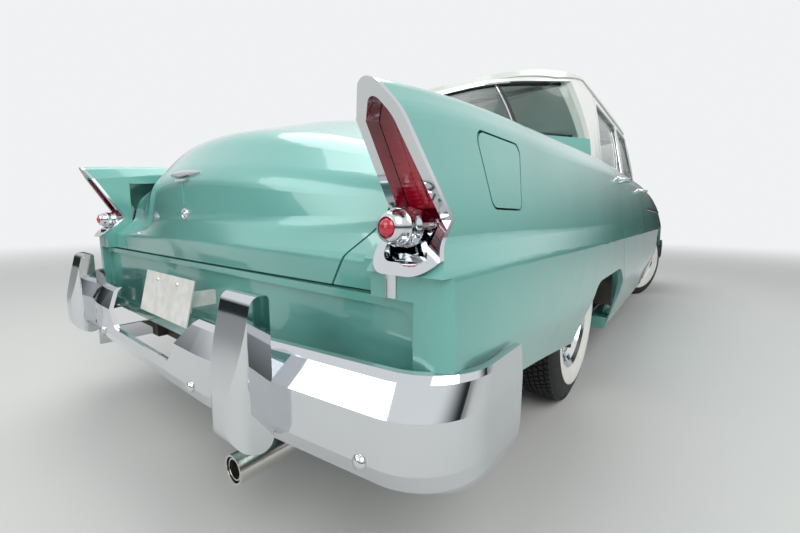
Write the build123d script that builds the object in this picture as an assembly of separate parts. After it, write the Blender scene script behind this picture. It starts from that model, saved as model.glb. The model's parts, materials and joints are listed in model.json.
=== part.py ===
from build123d import *
import math
import os

os.makedirs("parts", exist_ok=True)

# A four-door saloon of the middle 1950s, in millimetres.
# +X is forward, +Y is the car's left, +Z is up, and the ground is Z = 0.

# Stance
REAR_AXLE_X = -1190
WHEELBASE = 2921
FRONT_AXLE_X = REAR_AXLE_X + WHEELBASE
TRACK = 1490
STEER_AT_REST = -25

# Wheels and tyres
TYRE_RADIUS = 355
TYRE_WIDTH = 170
RIM_RADIUS = 200
RIM_WIDTH = 126
RIM_DEPTH = 26
COVER_RADIUS = 172
DRUM_RADIUS = 142
DRUM_WIDTH = 62
SPINDLE_RADIUS = 17
SPINDLE_CLEARANCE = 0.4

# Body shell
PANEL_GAP = 6
SKIN = 22
DOOR_THICKNESS = 58
SILL_TOP = 276
SILL_BOTTOM = 215
DOOR_BOTTOM = SILL_TOP + PANEL_GAP
SIDE_INNER_Y = 560

# Cowl, aprons and lamps at the front
COWL_HALF = 795
APRON_Y = 585
APRON_ARCH_TOP = 770
COWL_REAR = 640
DOOR_SHELF_Y = 768
SHELF_SETBACK = 27
FRAME_SHUT = 12
HEADLAMP_Y = 745
HEADLAMP_Z = 790
HEADLAMP_RADIUS = 92
GUARD_HALF = 50
GUARD_ROUND = 32
RAIL_END = 2380
BRACKET_Z = (332, 386)
FUEL_DOOR_VIEW = [(-2250, 938), (-2056, 938), (-2088, 800), (-2214, 800)]

# Doors and pillars along X
FRONT_DOOR_FRONT = 925
DOOR_SPLIT = -20
REAR_DOOR_REAR = -875
REAR_DOOR_FOOT = -735
DOGLEG_TOP = 620
DOGLEG_BOTTOM = 380

# Rear wheel opening
REAR_ARCH_HALF = 400
REAR_ARCH_TOP = 560
REAR_ARCH_RADIUS = 215

# Front wheel opening
FRONT_ARCH_HALF = 410
FRONT_ARCH_TOP = 705
FRONT_ARCH_RADIUS = 330

# Side of the body, from the ground up, as Y, Z pairs on the left side:
# x, foot, bulge, crease, above crease, shoulder, crest, inner slope, inner edge
SIDE_TABLE = [
    (2530, (862, 430), (893, 560), (888, 690), (880, 745), (846, 880), (778, 918), (700, 912),
        (622, 896)),
    (2200, (880, 395), (925, 540), (922, 690), (912, 748), (866, 912), (800, 958), (716, 948),
        (622, 944)),
    (1731, (885, 330), (937, 515), (934, 690), (923, 750), (874, 945), (812, 996), (728, 984),
        (622, 992)),
    (1250, (885, 270), (941, 480), (938, 690), (927, 755), (880, 975), (826, 1024), (742, 1014),
        (640, 1034)),
    (700, (885, 262), (944, 480), (941, 690), (930, 758), (886, 985), (840, 1042), (806, 1040),
        (740, 1038)),
    (-100, (885, 262), (945, 480), (942, 690), (930, 760), (886, 988), (842, 1045), (808, 1043),
        (744, 1041)),
    (-880, (885, 280), (942, 485), (939, 690), (926, 760), (884, 984), (842, 1042), (806, 1040),
        (742, 1040)),
    (-1190, (886, 300), (940, 495), (937, 690), (921, 758), (880, 978), (839, 1038), (796, 1036),
        (735, 1042)),
    (-1600, (888, 345), (936, 515), (932, 694), (910, 752), (870, 970), (824, 1034), (752, 1018),
        (700, 1044)),
    (-2000, (888, 400), (930, 540), (925, 698), (896, 748), (856, 962), (808, 1028), (752, 990),
        (700, 972)),
    (-2300, (884, 430), (920, 558), (914, 698), (880, 742), (846, 950), (800, 1016), (750, 950),
        (700, 902)),
    (-2500, (872, 440), (900, 560), (894, 690), (864, 734), (836, 925), (796, 994), (750, 915),
        (700, 860)),
]
SIDE_RADII = (0, 150, 30, 40, 70, 45, 70, 0)

# Front of the fenders
FENDER_NOSE_TOP = 2530
FENDER_NOSE_BOTTOM = 2446
FENDER_FOOT_END = 2330

# Lower rear corner of the body, rounded in plan round a solid post
QUARTER_END = -2424
CORNER_POST = 110
REAR_CORNER_Y = 842
REAR_CORNER_OUTER = 918
REAR_CORNER_RADIUS = 62
FENDER_WALL = 34
FENDER_INNER_Y = 622

# Hood: x, edge height, crown height
HOOD_TABLE = [
    (2560, 880, 930),
    (2260, 930, 980),
    (1960, 966, 1024),
    (1660, 996, 1058),
    (1360, 1020, 1084),
    (1040, 1038, 1102),
]
HOOD_HALF = 614
HOOD_NOSE = 2490
HOOD_NOSE_BOTTOM = 800
HOOD_NOSE_RADIUS = 90
HOOD_THICKNESS = 18

# Trunk lid: y, then X, Z pairs at front, middle, shoulder, upper back, waist, ledge, foot
LID_TABLE = [
    (0, (-1660, 1142), (-2060, 1098), (-2320, 1020), (-2412, 900), (-2410, 770), (-2414, 706),
        (-2396, 648)),
    (360, (-1660, 1115), (-2060, 1068), (-2280, 990), (-2378, 880), (-2378, 766), (-2408, 706),
        (-2396, 648)),
    (700, (-1660, 1040), (-2060, 966), (-2210, 925), (-2300, 850), (-2322, 762), (-2392, 706),
        (-2392, 648)),
]
LID_THICKNESS = 18
LID_HALF = 700
LID_FRONT = -1660
LID_FOOT = 648
# Seam down each side of the lid from behind the lamp to its lower corner
LID_SEAM = [(612, 640), (655, 716), (700, 800)]

# Cabin walls above the belt: z, front x, front y, front corner x, corner y,
# rear corner x, corner y, rear x, rear y
CABIN_TABLE = [
    (1036, 1010, 330, 716, 792, -945, 800, -1610, 420),
    (1240, 885, 330, 640, 760, -962, 768, -1372, 420),
    (1438, 735, 330, 545, 706, -985, 712, -1190, 420),
]
CABIN_WALL = 34
GLASS = 5
GLASS_INSET = 14
REAR_GLASS_BASE = 1146
HEADER_Z = 1404

# Roof: x, half width, eave height, crown height
ROOF_TABLE = [
    (800, 700, 1418, 1430),
    (620, 708, 1426, 1468),
    (300, 716, 1432, 1508),
    (-200, 720, 1432, 1527),
    (-700, 718, 1430, 1514),
    (-1000, 712, 1424, 1486),
    (-1230, 706, 1414, 1438),
]
ROOF_THICKNESS = 24
ROOF_OVERHANG = 10
ROOF_LIP = 4

# Door windows
WINDOW_BASE = 1056
WINDOW_TOP = 1384
DOOR_TOP = 1412
FRAME_RAIL = 28

# Bumpers
BUMPER_REACH = 2556
BUMPER_END_X = 2210
BUMPER_HALF = 943
BUMPER_THICKNESS = 12
BUMPER_SWEEP = 70
BUMPER_AIR = 4
BUMPER_CORNER = 135
BUMPER_BOTTOM = 352
BUMPER_TOP = 545
REAR_NOTCH_HALF_TOP = 300
REAR_NOTCH_HALF_BOTTOM = 205
REAR_NOTCH_Z = 432
GUARD_Y = 556
GUARD_TOP = 646
GUARD_BOTTOM = 345
GUARD_REACH = 2601

# Tail lamps
LAMP_TIP = (-2480, 984)
LAMP_NOTCH = (-2352, 776)
LAMP_FOOT = (-2436, 692)
LAMP_INNER_Y = 752
POD_Y = 797
POD_Z = 764
POD_RADIUS = 28
LAMP_OUTER_Y = 892
LAMP_ROOM_TOP = 965
LAMP_WALL = 14
LAMP_LINING = 4

# Rear panel
REAR_PANEL_X = -2404
REAR_PANEL_THICKNESS = 20
REAR_PANEL_TOP = 644
REAR_PANEL_BOTTOM = 392
REAR_PANEL_HALF = 842
RECESS_DEPTH = 12

# Number plate
PLATE_WIDTH = 335
PLATE_HEIGHT = 124
PLATE_THICKNESS = 3
PLATE_X = -2480
PLATE_Z = 552
PLATE_LEAN = 13

# Exhaust and rear springs
EXHAUST_Y = 455
EXHAUST_Z = 248
EXHAUST_TIP = -2530
SPRING_Y = 520
SPRING_STACK = 20
PIPE_Z = 195
ENGINE_HALF = 250

# Chassis
RAIL_Y = 430
RAIL_WIDTH = 70
RAIL_HEIGHT = 100
RAIL_BOTTOM = 172
KICK_HEIGHT = 222
FLOOR_Z = 290
FLOOR_THICKNESS = 8
TRUNK_FLOOR_Z = 500
TUNNEL_TOP = 400
TUNNEL_HALF = 112
TUNNEL_FOOT = 150
SILL_INNER_Y = 792

# Interior
SEAT_HALF = 660
SEAT_TOP = 610
WHEEL_HUB = (430, 390, 950)
WHEEL_RIM_RADIUS = 205
COLUMN_LEAN = 28

# Steering and front suspension
KINGPIN_Y = 650
STEER_ARM = 150
KNUCKLE_HALF = 98


def flatten(shape):
    """One shape from what a boolean gives, with its solids kept."""
    solids = shape.solids()
    return solids[0] if len(solids) == 1 else Compound(children=list(solids))


def save(node, *shapes):
    """Write one node's solids."""
    solids = [solid for shape in shapes for solid in shape.solids()]
    whole = solids[0] if len(solids) == 1 else Compound(children=solids)
    export_step(whole, "parts/" + node + ".step")


def mirrored(shape):
    """The same shape on the car's other side."""
    return shape.mirror(Plane.XZ)


def rounded_wire(points, radii):
    """Closed wire through points in one plane, with tangent arcs at the corners."""
    corners = []
    count = len(points)
    for index, (point, radius) in enumerate(zip(points, radii)):
        here = Vector(*point)
        back = Vector(*points[index - 1]) - here
        ahead = Vector(*points[(index + 1) % count]) - here
        if radius <= 0:
            corners.append((here, None, here))
            continue
        half = math.radians(back.get_angle(ahead)) / 2
        reach = min(radius / math.tan(half), 0.48 * back.length, 0.48 * ahead.length)
        real = reach * math.tan(half)
        back, ahead = back.normalized(), ahead.normalized()
        middle = here + (back + ahead).normalized() * (real / math.sin(half) - real)
        corners.append((here + back * reach, middle, here + ahead * reach))
    edges = []
    for index, (start, middle, end) in enumerate(corners):
        if middle is not None:
            edges.append(Edge.make_three_point_arc(start, middle, end))
        edges.append(Edge.make_line(end, corners[(index + 1) % count][0]))
    return Wire(edges)


def prism(axis, points, low, high, radii=None):
    """A straight block along one axis, from an outline in the other two."""
    radii = radii or [0] * len(points)
    place = {
        "x": lambda a, b: (low, a, b),
        "y": lambda a, b: (a, low, b),
        "z": lambda a, b: (a, b, low),
    }[axis]
    wire = rounded_wire([place(a, b) for a, b in points], radii)
    along = {"x": (1, 0, 0), "y": (0, 1, 0), "z": (0, 0, 1)}[axis]
    return Solid.extrude(Face(wire), Vector(*along) * (high - low))


def block(x_range, y_range, z_range):
    """A box from its limits."""
    size = [high - low for low, high in (x_range, y_range, z_range)]
    return Pos(x_range[0], y_range[0], z_range[0]) * Box(*size, align=(Align.MIN,) * 3)


def rod(start, end, radius):
    """A round bar between two points."""
    axis = Vector(*end) - Vector(*start)
    return Solid.make_cylinder(radius, axis.length, Plane(origin=start, z_dir=axis))


def turned(profile, centre, axis):
    """A turned piece: profile is a list of (radius, distance along the axis)."""
    plane = Plane(origin=centre, x_dir=(0, 0, 1), z_dir=Vector(*axis).cross(Vector(0, 0, 1)))
    wire = Wire.make_polygon([plane.from_local_coords(Vector(r, -s, 0)) for r, s in profile])
    return Solid.revolve(Face(wire), 360, Axis(centre, axis))


def offset_open(points, distance):
    """An open chain moved sideways, towards the car's middle."""
    normals = []
    for (y0, z0), (y1, z1) in zip(points, points[1:]):
        length = math.hypot(y1 - y0, z1 - z0)
        normals.append((-(z1 - z0) / length, (y1 - y0) / length))
    moved = []
    for index, (y, z) in enumerate(points):
        before = normals[max(index - 1, 0)]
        after = normals[min(index, len(normals) - 1)]
        sum_y, sum_z = before[0] + after[0], before[1] + after[1]
        scale = 2 * distance / (sum_y ** 2 + sum_z ** 2)
        moved.append((y + sum_y * scale, z + sum_z * scale))
    return moved


def side_outer():
    """The whole left side as one closed loft, from foot to inner edge."""
    sections = []
    for x, *points in SIDE_TABLE:
        loop = list(points) + [(SIDE_INNER_Y, points[-1][1]), (SIDE_INNER_Y, points[0][1])]
        sections.append(rounded_wire([(x, y, z) for y, z in loop], SIDE_RADII + (0, 0)))
    return Solid.make_loft(sections, False)


def side_hollow(thickness, low):
    """The space behind a skin of the given thickness."""
    sections = []
    for x, *points in SIDE_TABLE:
        inner = offset_open(points, thickness)
        inner[0] = (inner[0][0], low)
        loop = inner + [(SIDE_INNER_Y - 20, inner[-1][1]), (SIDE_INNER_Y - 20, low)]
        radii = (0, 130, 30, 40, 50, 24, 70, 0, 0, 0)
        sections.append(rounded_wire([(x, y, z) for y, z in loop], radii))
    return Solid.make_loft(sections, False)


def door_hollow():
    """The cabin side of the doors, which are thick and open upwards."""
    sections = []
    for x, *points in SIDE_TABLE:
        if not -1200 < x < 1300:
            continue
        inner = offset_open(points[:6], DOOR_THICKNESS)[:5]
        inner[0] = (inner[0][0], 200)
        loop = inner + [(inner[-1][0] - 12, 1200), (SIDE_INNER_Y - 20, 1200), (SIDE_INNER_Y - 20, 200)]
        sections.append(rounded_wire([(x, y, z) for y, z in loop], (0, 130, 30, 40, 30, 0, 0, 0)))
    return Solid.make_loft(sections, False)


def cabin_outline(row, inset):
    """Plan of the cabin walls at one height."""
    z, front_x, front_y, fc_x, fc_y, rc_x, rc_y, rear_x, rear_y = row
    half = [
        (front_x - inset, front_y - inset * 0.4),
        (fc_x - inset * 0.8, fc_y - inset),
        (rc_x + inset * 0.8, rc_y - inset),
        (rear_x + inset, rear_y - inset * 0.4),
    ]
    points = [(x, y, z) for x, y in half] + [(x, -y, z) for x, y in reversed(half)]
    radii = [420, 170, 150, 420]
    return rounded_wire(points, radii + radii[::-1])


def cabin_solid(inset):
    """Everything inside the cabin walls, set in by some distance."""
    return Solid.make_loft([cabin_outline(row, inset) for row in CABIN_TABLE], False)


def roof_layer(drop, trim):
    """A solid under the roof surface, lowered and trimmed at its sides."""
    sections = []
    for x, half, eave, crown in ROOF_TABLE:
        width = half + ROOF_OVERHANG - trim
        rise = crown - eave
        top = Edge.make_three_point_arc(
            Vector(x, width * 0.7, crown - drop - rise * 0.2),
            Vector(x, 0, crown - drop),
            Vector(x, -width * 0.7, crown - drop - rise * 0.2),
        )
        left = Edge.make_tangent_arc(top @ 0, -(top % 0), Vector(x, width, eave - drop))
        right = Edge.make_tangent_arc(top @ 1, top % 1, Vector(x, -width, eave - drop))
        low_left = Vector(x, width, eave - drop - ROOF_LIP)
        low_right = Vector(x, -width, eave - drop - ROOF_LIP)
        base = Edge.make_line(low_right, low_left)
        sections.append(Wire([
            top, left, right, base,
            Edge.make_line(left @ 1, low_left), Edge.make_line(right @ 1, low_right),
        ]))
    return Solid.make_loft(sections, False)


def upright_plan(row, inset, low, high):
    """An upright block with the plan of one cabin height."""
    wire = cabin_outline((low,) + tuple(row[1:]), inset)
    return Solid.extrude(Face(wire), Vector(0, 0, high - low))


def roof_panel():
    """The roof panel, crowned both ways."""
    shell = roof_layer(0, 0) - roof_layer(ROOF_THICKNESS, ROOF_THICKNESS)
    return shell & upright_plan(CABIN_TABLE[-1], -ROOF_OVERHANG, 1300, 1600)


def crowned(table, half, drop, depth):
    """A long solid whose top is an arc in every cross-section."""
    sections = []
    for x, edge, crown in table:
        top = Edge.make_three_point_arc(
            Vector(x, half, edge - drop), Vector(x, 0, crown - drop), Vector(x, -half, edge - drop)
        )
        left, right = Vector(x, half, edge - depth), Vector(x, -half, edge - depth)
        sections.append(Wire([
            top,
            Edge.make_line(top @ 1, right),
            Edge.make_line(right, left),
            Edge.make_line(left, top @ 0),
        ]))
    return Solid.make_loft(sections, False)


def hood_form(inset):
    """The hood as a solid form, set in by some distance."""
    nose = HOOD_NOSE - inset
    rear = HOOD_TABLE[-1][0] - 50
    side = [(rear, 600), (rear, 1300), (nose, 1300), (nose, 600)]
    form = crowned(HOOD_TABLE, HOOD_HALF - inset, inset, 300)
    profile = prism("y", [
        (rear, HOOD_NOSE_BOTTOM - 300), (rear, 1300), (2250, 1300), (2250, 985 - inset),
        (nose, 915 - inset), (nose - 12, HOOD_NOSE_BOTTOM - 300),
    ], -700, 700, [0, 0, 0, 0, HOOD_NOSE_RADIUS, 0])
    return form & profile


def hood():
    """Pressed hood: skin, side flanges, turned-down nose and a rear rib."""
    rear = HOOD_TABLE[-1][0]
    outer = hood_form(0)
    inner = hood_form(HOOD_THICKNESS)
    skin = outer - inner
    flange = prism("y", [
        (rear - 10, 700), (rear - 10, 1300), (2600, 1300), (2600, HOOD_NOSE_BOTTOM),
        (2300, HOOD_NOSE_BOTTOM), (2270, 905), (1960, 936), (1040, 1000),
    ], -700, 700)
    rib = inner & block((rear + 20, rear + 70), (-560, 560), (1000, 1100))
    return flatten(flatten(skin & flange) + rib)


def lid_profile(y, points, thickness):
    """One fore-and-aft section of the trunk lid as a closed band."""
    outer = list(points)
    inner = offset_open(outer, thickness)
    loop = outer + inner[::-1]
    radii = (0, 500, 160, 90, 60, 24, 0, 0, 30, 60, 70, 140, 480, 0)
    return rounded_wire([(x, y, z) for x, z in loop], radii)


def tail_band():
    """The rear of the body from lamp to lamp, lid and corners in one band."""
    rows = [(-y, points) for y, *points in LID_TABLE[:0:-1]] + [(y, points) for y, *points in LID_TABLE]
    rows = [(-LAMP_INNER_Y, rows[0][1])] + rows + [(LAMP_INNER_Y, rows[-1][1])]
    return Solid.make_loft([lid_profile(y, points, LID_THICKNESS) for y, points in rows], False)


def lid_view(gap):
    """The lid's outline seen from behind, grown by a gap."""
    half = [(LID_SEAM[0][0] + gap, 560)] + [(y + gap, z) for y,
        z in LID_SEAM] + [(LID_HALF + gap, 1300)]
    points = half + [(-y, z) for y, z in half[::-1]]
    radii = [0, 60, 90, 60, 0]
    return prism("x", points, -2600, LID_FRONT + gap, radii + radii[::-1])


def trunk_lid():
    """The lid: deck on top and upright back in one panel."""
    return flatten(tail_band() & lid_view(0))


def tail_corner():
    """Left corner of the tail between the lid's seam and the lamp."""
    band = tail_band() & block((-2600, -2180), (500, LAMP_INNER_Y), (LID_FOOT, 1100))
    return flatten(flatten(band) - lid_view(PANEL_GAP))


def cabin_shell():
    """Walls of the cabin above the belt, before the windows are cut."""
    return cabin_solid(0) - cabin_solid(CABIN_WALL)


def glass_shell():
    """A thin layer where the window glass lies."""
    return cabin_solid(GLASS_INSET) - cabin_solid(GLASS_INSET + GLASS)


WINDSCREEN_VIEW = [(684, 1062), (1100, 1108), (1100, HEADER_Z), (522, HEADER_Z)]
REAR_GLASS_VIEW = [(-962, REAR_GLASS_BASE), (-1700, REAR_GLASS_BASE), (-1700, HEADER_Z),
    (-1004, HEADER_Z)]
B_FRONT = DOOR_SPLIT + FRAME_SHUT
B_REAR = DOOR_SPLIT - PANEL_GAP / 2
C_LOW = REAR_DOOR_REAR + 75 + FRAME_SHUT
C_HIGH = REAR_DOOR_REAR + 165 + FRAME_SHUT
FRONT_FRAME_VIEW = [(B_FRONT, 1020), (B_FRONT, DOOR_TOP), (474, DOOR_TOP), (634, 1020)]
REAR_FRAME_VIEW = [(B_REAR, 1020), (C_LOW, 1020), (C_LOW, 1180), (C_HIGH, DOOR_TOP), (B_REAR, DOOR_TOP)]
DOOR_ZONE_VIEW = [
    (C_LOW - FRAME_SHUT - 4, 1000), (C_LOW - FRAME_SHUT - 4, 1180),
        (C_HIGH - FRAME_SHUT - 4, DOOR_TOP + PANEL_GAP),
    (481, DOOR_TOP + PANEL_GAP), (654, 1000),
]
FRONT_WINDOW_VIEW = [
    (B_FRONT + FRAME_RAIL, WINDOW_BASE), (B_FRONT + FRAME_RAIL, WINDOW_TOP), (452, WINDOW_TOP),
        (586, WINDOW_BASE),
]
REAR_WINDOW_VIEW = [
    (B_REAR - FRAME_RAIL, WINDOW_BASE), (C_LOW + FRAME_RAIL, WINDOW_BASE), (C_LOW + FRAME_RAIL, 1176),
    (C_HIGH + FRAME_RAIL, WINDOW_TOP), (B_REAR - FRAME_RAIL, WINDOW_TOP),
]
WINDOW_RADII = {4: (14, 30, 60, 20), 5: (14, 20, 40, 70, 30)}


def grown(points, distance):
    """A convex outline moved outwards by a distance."""
    centre_x = sum(x for x, z in points) / len(points)
    centre_z = sum(z for x, z in points) / len(points)
    moved = []
    count = len(points)
    for index, (x, z) in enumerate(points):
        lines = []
        for first, second in ((points[index - 1], (x, z)), ((x, z), points[(index + 1) % count])):
            dx, dz = second[0] - first[0], second[1] - first[1]
            length = math.hypot(dx, dz)
            normal = (dz / length, -dx / length)
            if (first[0] - centre_x) * normal[0] + (first[1] - centre_z) * normal[1] < 0:
                normal = (-normal[0], -normal[1])
            lines.append(normal)
        sum_x, sum_z = lines[0][0] + lines[1][0], lines[0][1] + lines[1][1]
        scale = 2 * distance / (sum_x ** 2 + sum_z ** 2)
        moved.append((x + sum_x * scale, z + sum_z * scale))
    return moved


def side_prism(points, radii=None, low=300, high=1000):
    """An outline seen from the side, cut through the left half."""
    return prism("y", points, low, high, radii)


def cabin_parts():
    """Roof with its pillars, both left door frames, and all the glass."""
    shell = cabin_shell()
    glass = glass_shell()
    door_zone = side_prism(DOOR_ZONE_VIEW)
    windscreen_zone = prism("y", WINDSCREEN_VIEW, -900, 900)
    rear_zone = prism("y", REAR_GLASS_VIEW, -900, 900)
    pillars = shell - windscreen_zone - rear_zone
    pillars = flatten(pillars) - door_zone - mirrored(door_zone)
    low_front = block((650, 1200), (-900, 900), (900, 1100))
    low_rear = block((-1700, REAR_GLASS_VIEW[0][0]), (-900, 900), (900, REAR_GLASS_BASE))
    pillars = flatten(pillars)
    roof = flatten(flatten(pillars - low_front) - low_rear) + roof_panel()
    cowl_foot = flatten(pillars & low_front)
    deck_foot = flatten(pillars & low_rear)
    frames = []
    for view, window in ((FRONT_FRAME_VIEW, FRONT_WINDOW_VIEW), (REAR_FRAME_VIEW, REAR_WINDOW_VIEW)):
        ring = side_prism(view) - side_prism(window, WINDOW_RADII[len(window)])
        frames.append(flatten(shell & ring))
    panes = {}
    panes["glass_front"] = flatten(glass & side_prism(grown(FRONT_WINDOW_VIEW, -0.3), WINDOW_RADII[4]))
    panes["glass_rear"] = flatten(glass & side_prism(grown(REAR_WINDOW_VIEW, -0.3), WINDOW_RADII[5]))
    panes["windshield"] = flatten(glass & prism("y", grown(WINDSCREEN_VIEW, -0.3), -900, 900))
    panes["rear_glass"] = flatten(glass & prism("y", grown(REAR_GLASS_VIEW, -0.3), -900, 900))
    return flatten(roof), frames, panes, cowl_foot, deck_foot


def rear_deck(foot):
    """Panel between the rear glass and the trunk lid, with the glass's sill."""
    rows = [(-700, 1040, 1176), (-1180, 1040, 1160), (LID_FRONT + PANEL_GAP, 1040, 1142)]
    skin = crowned(rows, LID_HALF + 3, 0, 60) - crowned(rows, LID_HALF - 19, SKIN, 90)
    skin = flatten(skin) & block((LID_FRONT, REAR_DOOR_REAR - 60), (-800, 800), (900, 1300))
    skin = flatten(flatten(skin) - cabin_solid(2)) - upright_plan(CABIN_TABLE[0], 2, 900, 1037)
    return flatten(flatten(skin) + foot)


def cowl(foot):
    """Scuttle under the windshield, firewall, and the wings' inner walls."""
    front = HOOD_TABLE[-1][0] - PANEL_GAP
    rows = [(front, 1036, 1100), (880, 1040, 1104), (690, 1041, 1106)]
    skin = crowned(rows, COWL_HALF, 0, 70) - crowned(rows, COWL_HALF - 20, SKIN, 120)
    skin = flatten(skin) & block((COWL_REAR, front), (-800, 800), (960, 1300))
    skin = flatten(flatten(skin) - cabin_solid(2)) - upright_plan(CABIN_TABLE[0], 2, 900, 1037)
    floor_top = FLOOR_Z + FLOOR_THICKNESS
    wall = block((front - 60, front - 40), (-COWL_HALF + 10, COWL_HALF - 10), (floor_top, 1030))
    wall = wall - block((front - 100, front), (-TUNNEL_FOOT, TUNNEL_FOOT), (floor_top - 20, TUNNEL_TOP))
    whole = flatten(flatten(skin) + foot) + flatten(wall)
    for sign in (1, -1):
        apron = prism("y", [
            (front - 45, 300), (front - 45, 960), (2330, 880), (2330, 470), (2175, 470),
            (2175, APRON_ARCH_TOP), (1285, APRON_ARCH_TOP), (1285, 300),
        ], sign * APRON_Y, sign * (APRON_Y + 10), [0, 0, 0, 0, 0, 150, 150, 0])
        whole = whole + apron
    support = block((2330, 2342), (-APRON_Y - 10, APRON_Y + 10), (470, 800)) - block(
        (2300, 2400), (-330, 330), (500, 780)
    )
    return flatten(whole + support)


def front_fender(outer, hollow):
    """Left front fender with its nose wall and lamp hole."""
    front = FRONT_DOOR_FRONT + PANEL_GAP
    view = [(front, 200), (front, 1150), (FENDER_NOSE_TOP, 1150), (FENDER_NOSE_TOP, 860),
            (FENDER_NOSE_BOTTOM, BUMPER_TOP + 30), (FENDER_FOOT_END, BUMPER_TOP + 16),
                (FENDER_FOOT_END, 200)]
    inside = [(front - 50, 100), (front - 50, 1150)] + [(x - FENDER_WALL, z) for x, z in view[2:6]] + [
        (FENDER_FOOT_END - FENDER_WALL, 100)]
    solid = outer & prism("y", view, 500, 1000)
    cavity = hollow & prism("y", inside, 400, 1000)
    solid = flatten(solid) - cavity
    solid = flatten(solid) - block((front - 10, 2700), (400, FENDER_INNER_Y), (100, 1200))
    solid = flatten(solid) - block((front - 10, HOOD_TABLE[-1][0]), (400, COWL_HALF + PANEL_GAP),
        (100, 1200))
    solid = flatten(solid) - front_arch()
    lamp_bore = Pos(2400, HEADLAMP_Y, HEADLAMP_Z) * Rot(0, 90, 0) * Cylinder(
        HEADLAMP_RADIUS, 200, align=(Align.CENTER, Align.CENTER, Align.MIN)
    )
    return flatten(flatten(solid) - lamp_bore)


def arch(centre, half, top, radius):
    """A wheel opening seen from the side."""
    return prism("y", [
        (centre - half, 100), (centre - half, top), (centre + half, top), (centre + half, 100),
    ], 600, 1000, [0, radius, radius, 0])


def front_arch():
    return arch(FRONT_AXLE_X, FRONT_ARCH_HALF, FRONT_ARCH_TOP, FRONT_ARCH_RADIUS)


def rear_arch():
    return arch(REAR_AXLE_X, REAR_ARCH_HALF, REAR_ARCH_TOP, REAR_ARCH_RADIUS)


def quarter(outer, hollow, corner):
    """Left rear quarter panel, fin and lamp nacelle."""
    edge = REAR_DOOR_REAR - PANEL_GAP
    foot = REAR_DOOR_FOOT - PANEL_GAP
    view = [(edge, 1150), (edge, DOGLEG_TOP), (foot, DOGLEG_BOTTOM), (foot, 200), (QUARTER_END, 200),
            (QUARTER_END, LAMP_FOOT[1] - 16), LAMP_FOOT, LAMP_NOTCH, LAMP_TIP, (LAMP_TIP[0], 1150)]
    radii = [0, 120, 100, 0, 0, 0, 0, 0, 0, 0]
    solid = outer & prism("y", view, 500, 1000, radii)
    nacelle = block((-2600, -2330), (400, 1000), (LID_FOOT, 1200))
    post = block((-2600, QUARTER_END + CORNER_POST), (REAR_CORNER_Y, 1000), (380, LID_FOOT))
    cavity = hollow - nacelle - post
    solid = flatten(solid) - flatten(cavity)
    solid = flatten(solid) - block((-2700, -800), (400, LID_HALF + PANEL_GAP), (100, 1200))
    behind = prism("y", [(-2180, 1200), (-2200, 930), (-2300, 850), (-2322, 762), (-2392, 706),
                         (-2392, 560), (-2700, 560), (-2700, 1200)], 400, LAMP_INNER_Y)
    solid = flatten(solid) - behind
    upper = block((-2700, -600), (400, 1000), (LAMP_FOOT[1], 1200))
    plan = prism("z", [(-600, 400), (QUARTER_END, 400), (QUARTER_END, REAR_CORNER_OUTER),
                       (-2000, 1000), (-600, 1000)], 100, LAMP_FOOT[1],
                           [0, 0, REAR_CORNER_RADIUS, 0, 0])
    solid = flatten(solid) & flatten(upper + plan)
    solid = flatten(solid) - rear_arch()
    solid = flatten(solid) - (bumper_layer(-1, -BUMPER_AIR) - bumper_layer(-1,
        BUMPER_THICKNESS + BUMPER_AIR))
    solid = flatten(solid) + corner
    return flatten(solid)


def fuel_door_view(gap):
    """Outline of the fuel door, cut through the left skin."""
    return prism("y", grown(FUEL_DOOR_VIEW, gap) if gap else FUEL_DOOR_VIEW, 800, 1000,
        [22, 22, 18, 22])


def side_door(outer, thick, view, radii, frame):
    """One left door: pressed skin, inner face and window frame."""
    outline = prism("y", view, 500, 1000, radii)
    solid = flatten(thick & outline)
    rear_edge = max(min(x for x, z in view), REAR_DOOR_REAR) + SHELF_SETBACK
    shelf = flatten(outer & outline) & block((rear_edge, COWL_REAR - PANEL_GAP),
        (DOOR_SHELF_Y, 1000), (1004, 1100))
    return flatten(flatten(solid + shelf) + frame)


def bumper_blade(sign, notch):
    """A wrapped bumper blade, bulged from bottom to top."""
    blade = flatten(bumper_layer(sign, 0) - bumper_layer(sign, BUMPER_THICKNESS))
    if notch:
        blade = flatten(blade - prism("x", [
            (-REAR_NOTCH_HALF_TOP, BUMPER_TOP + 1), (-REAR_NOTCH_HALF_BOTTOM, REAR_NOTCH_Z),
            (REAR_NOTCH_HALF_BOTTOM, REAR_NOTCH_Z), (REAR_NOTCH_HALF_TOP, BUMPER_TOP + 1),
        ], -2700, -2300, [0, 30, 30, 0]))
    return blade


def bumper_layer(sign, inset):
    """Everything inside a bumper's outer face, an inset's depth below it."""
    rows = [(BUMPER_BOTTOM, -36), (BUMPER_BOTTOM + 20, -10), (BUMPER_BOTTOM + 52, 0),
        (BUMPER_TOP - 58, 0),
            (BUMPER_TOP - 10, -26), (BUMPER_TOP, -40)]

    wires = []
    for z, step in rows:
        face = step - inset
        half = [
            (BUMPER_REACH + face, BUMPER_HALF * 0.42),
            (BUMPER_REACH - BUMPER_SWEEP + face, BUMPER_HALF + step * 0.15 - inset),
            (BUMPER_END_X, BUMPER_HALF + 2 + step * 0.15 - inset),
        ]
        points = [(x * sign, y, z) for x, y in half] + [(x * sign, -y, z) for x, y in half[::-1]]
        wires.append(rounded_wire(points, [900, BUMPER_CORNER, 0, 0, BUMPER_CORNER, 900]))
    return Solid.make_loft(wires, True)


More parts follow.
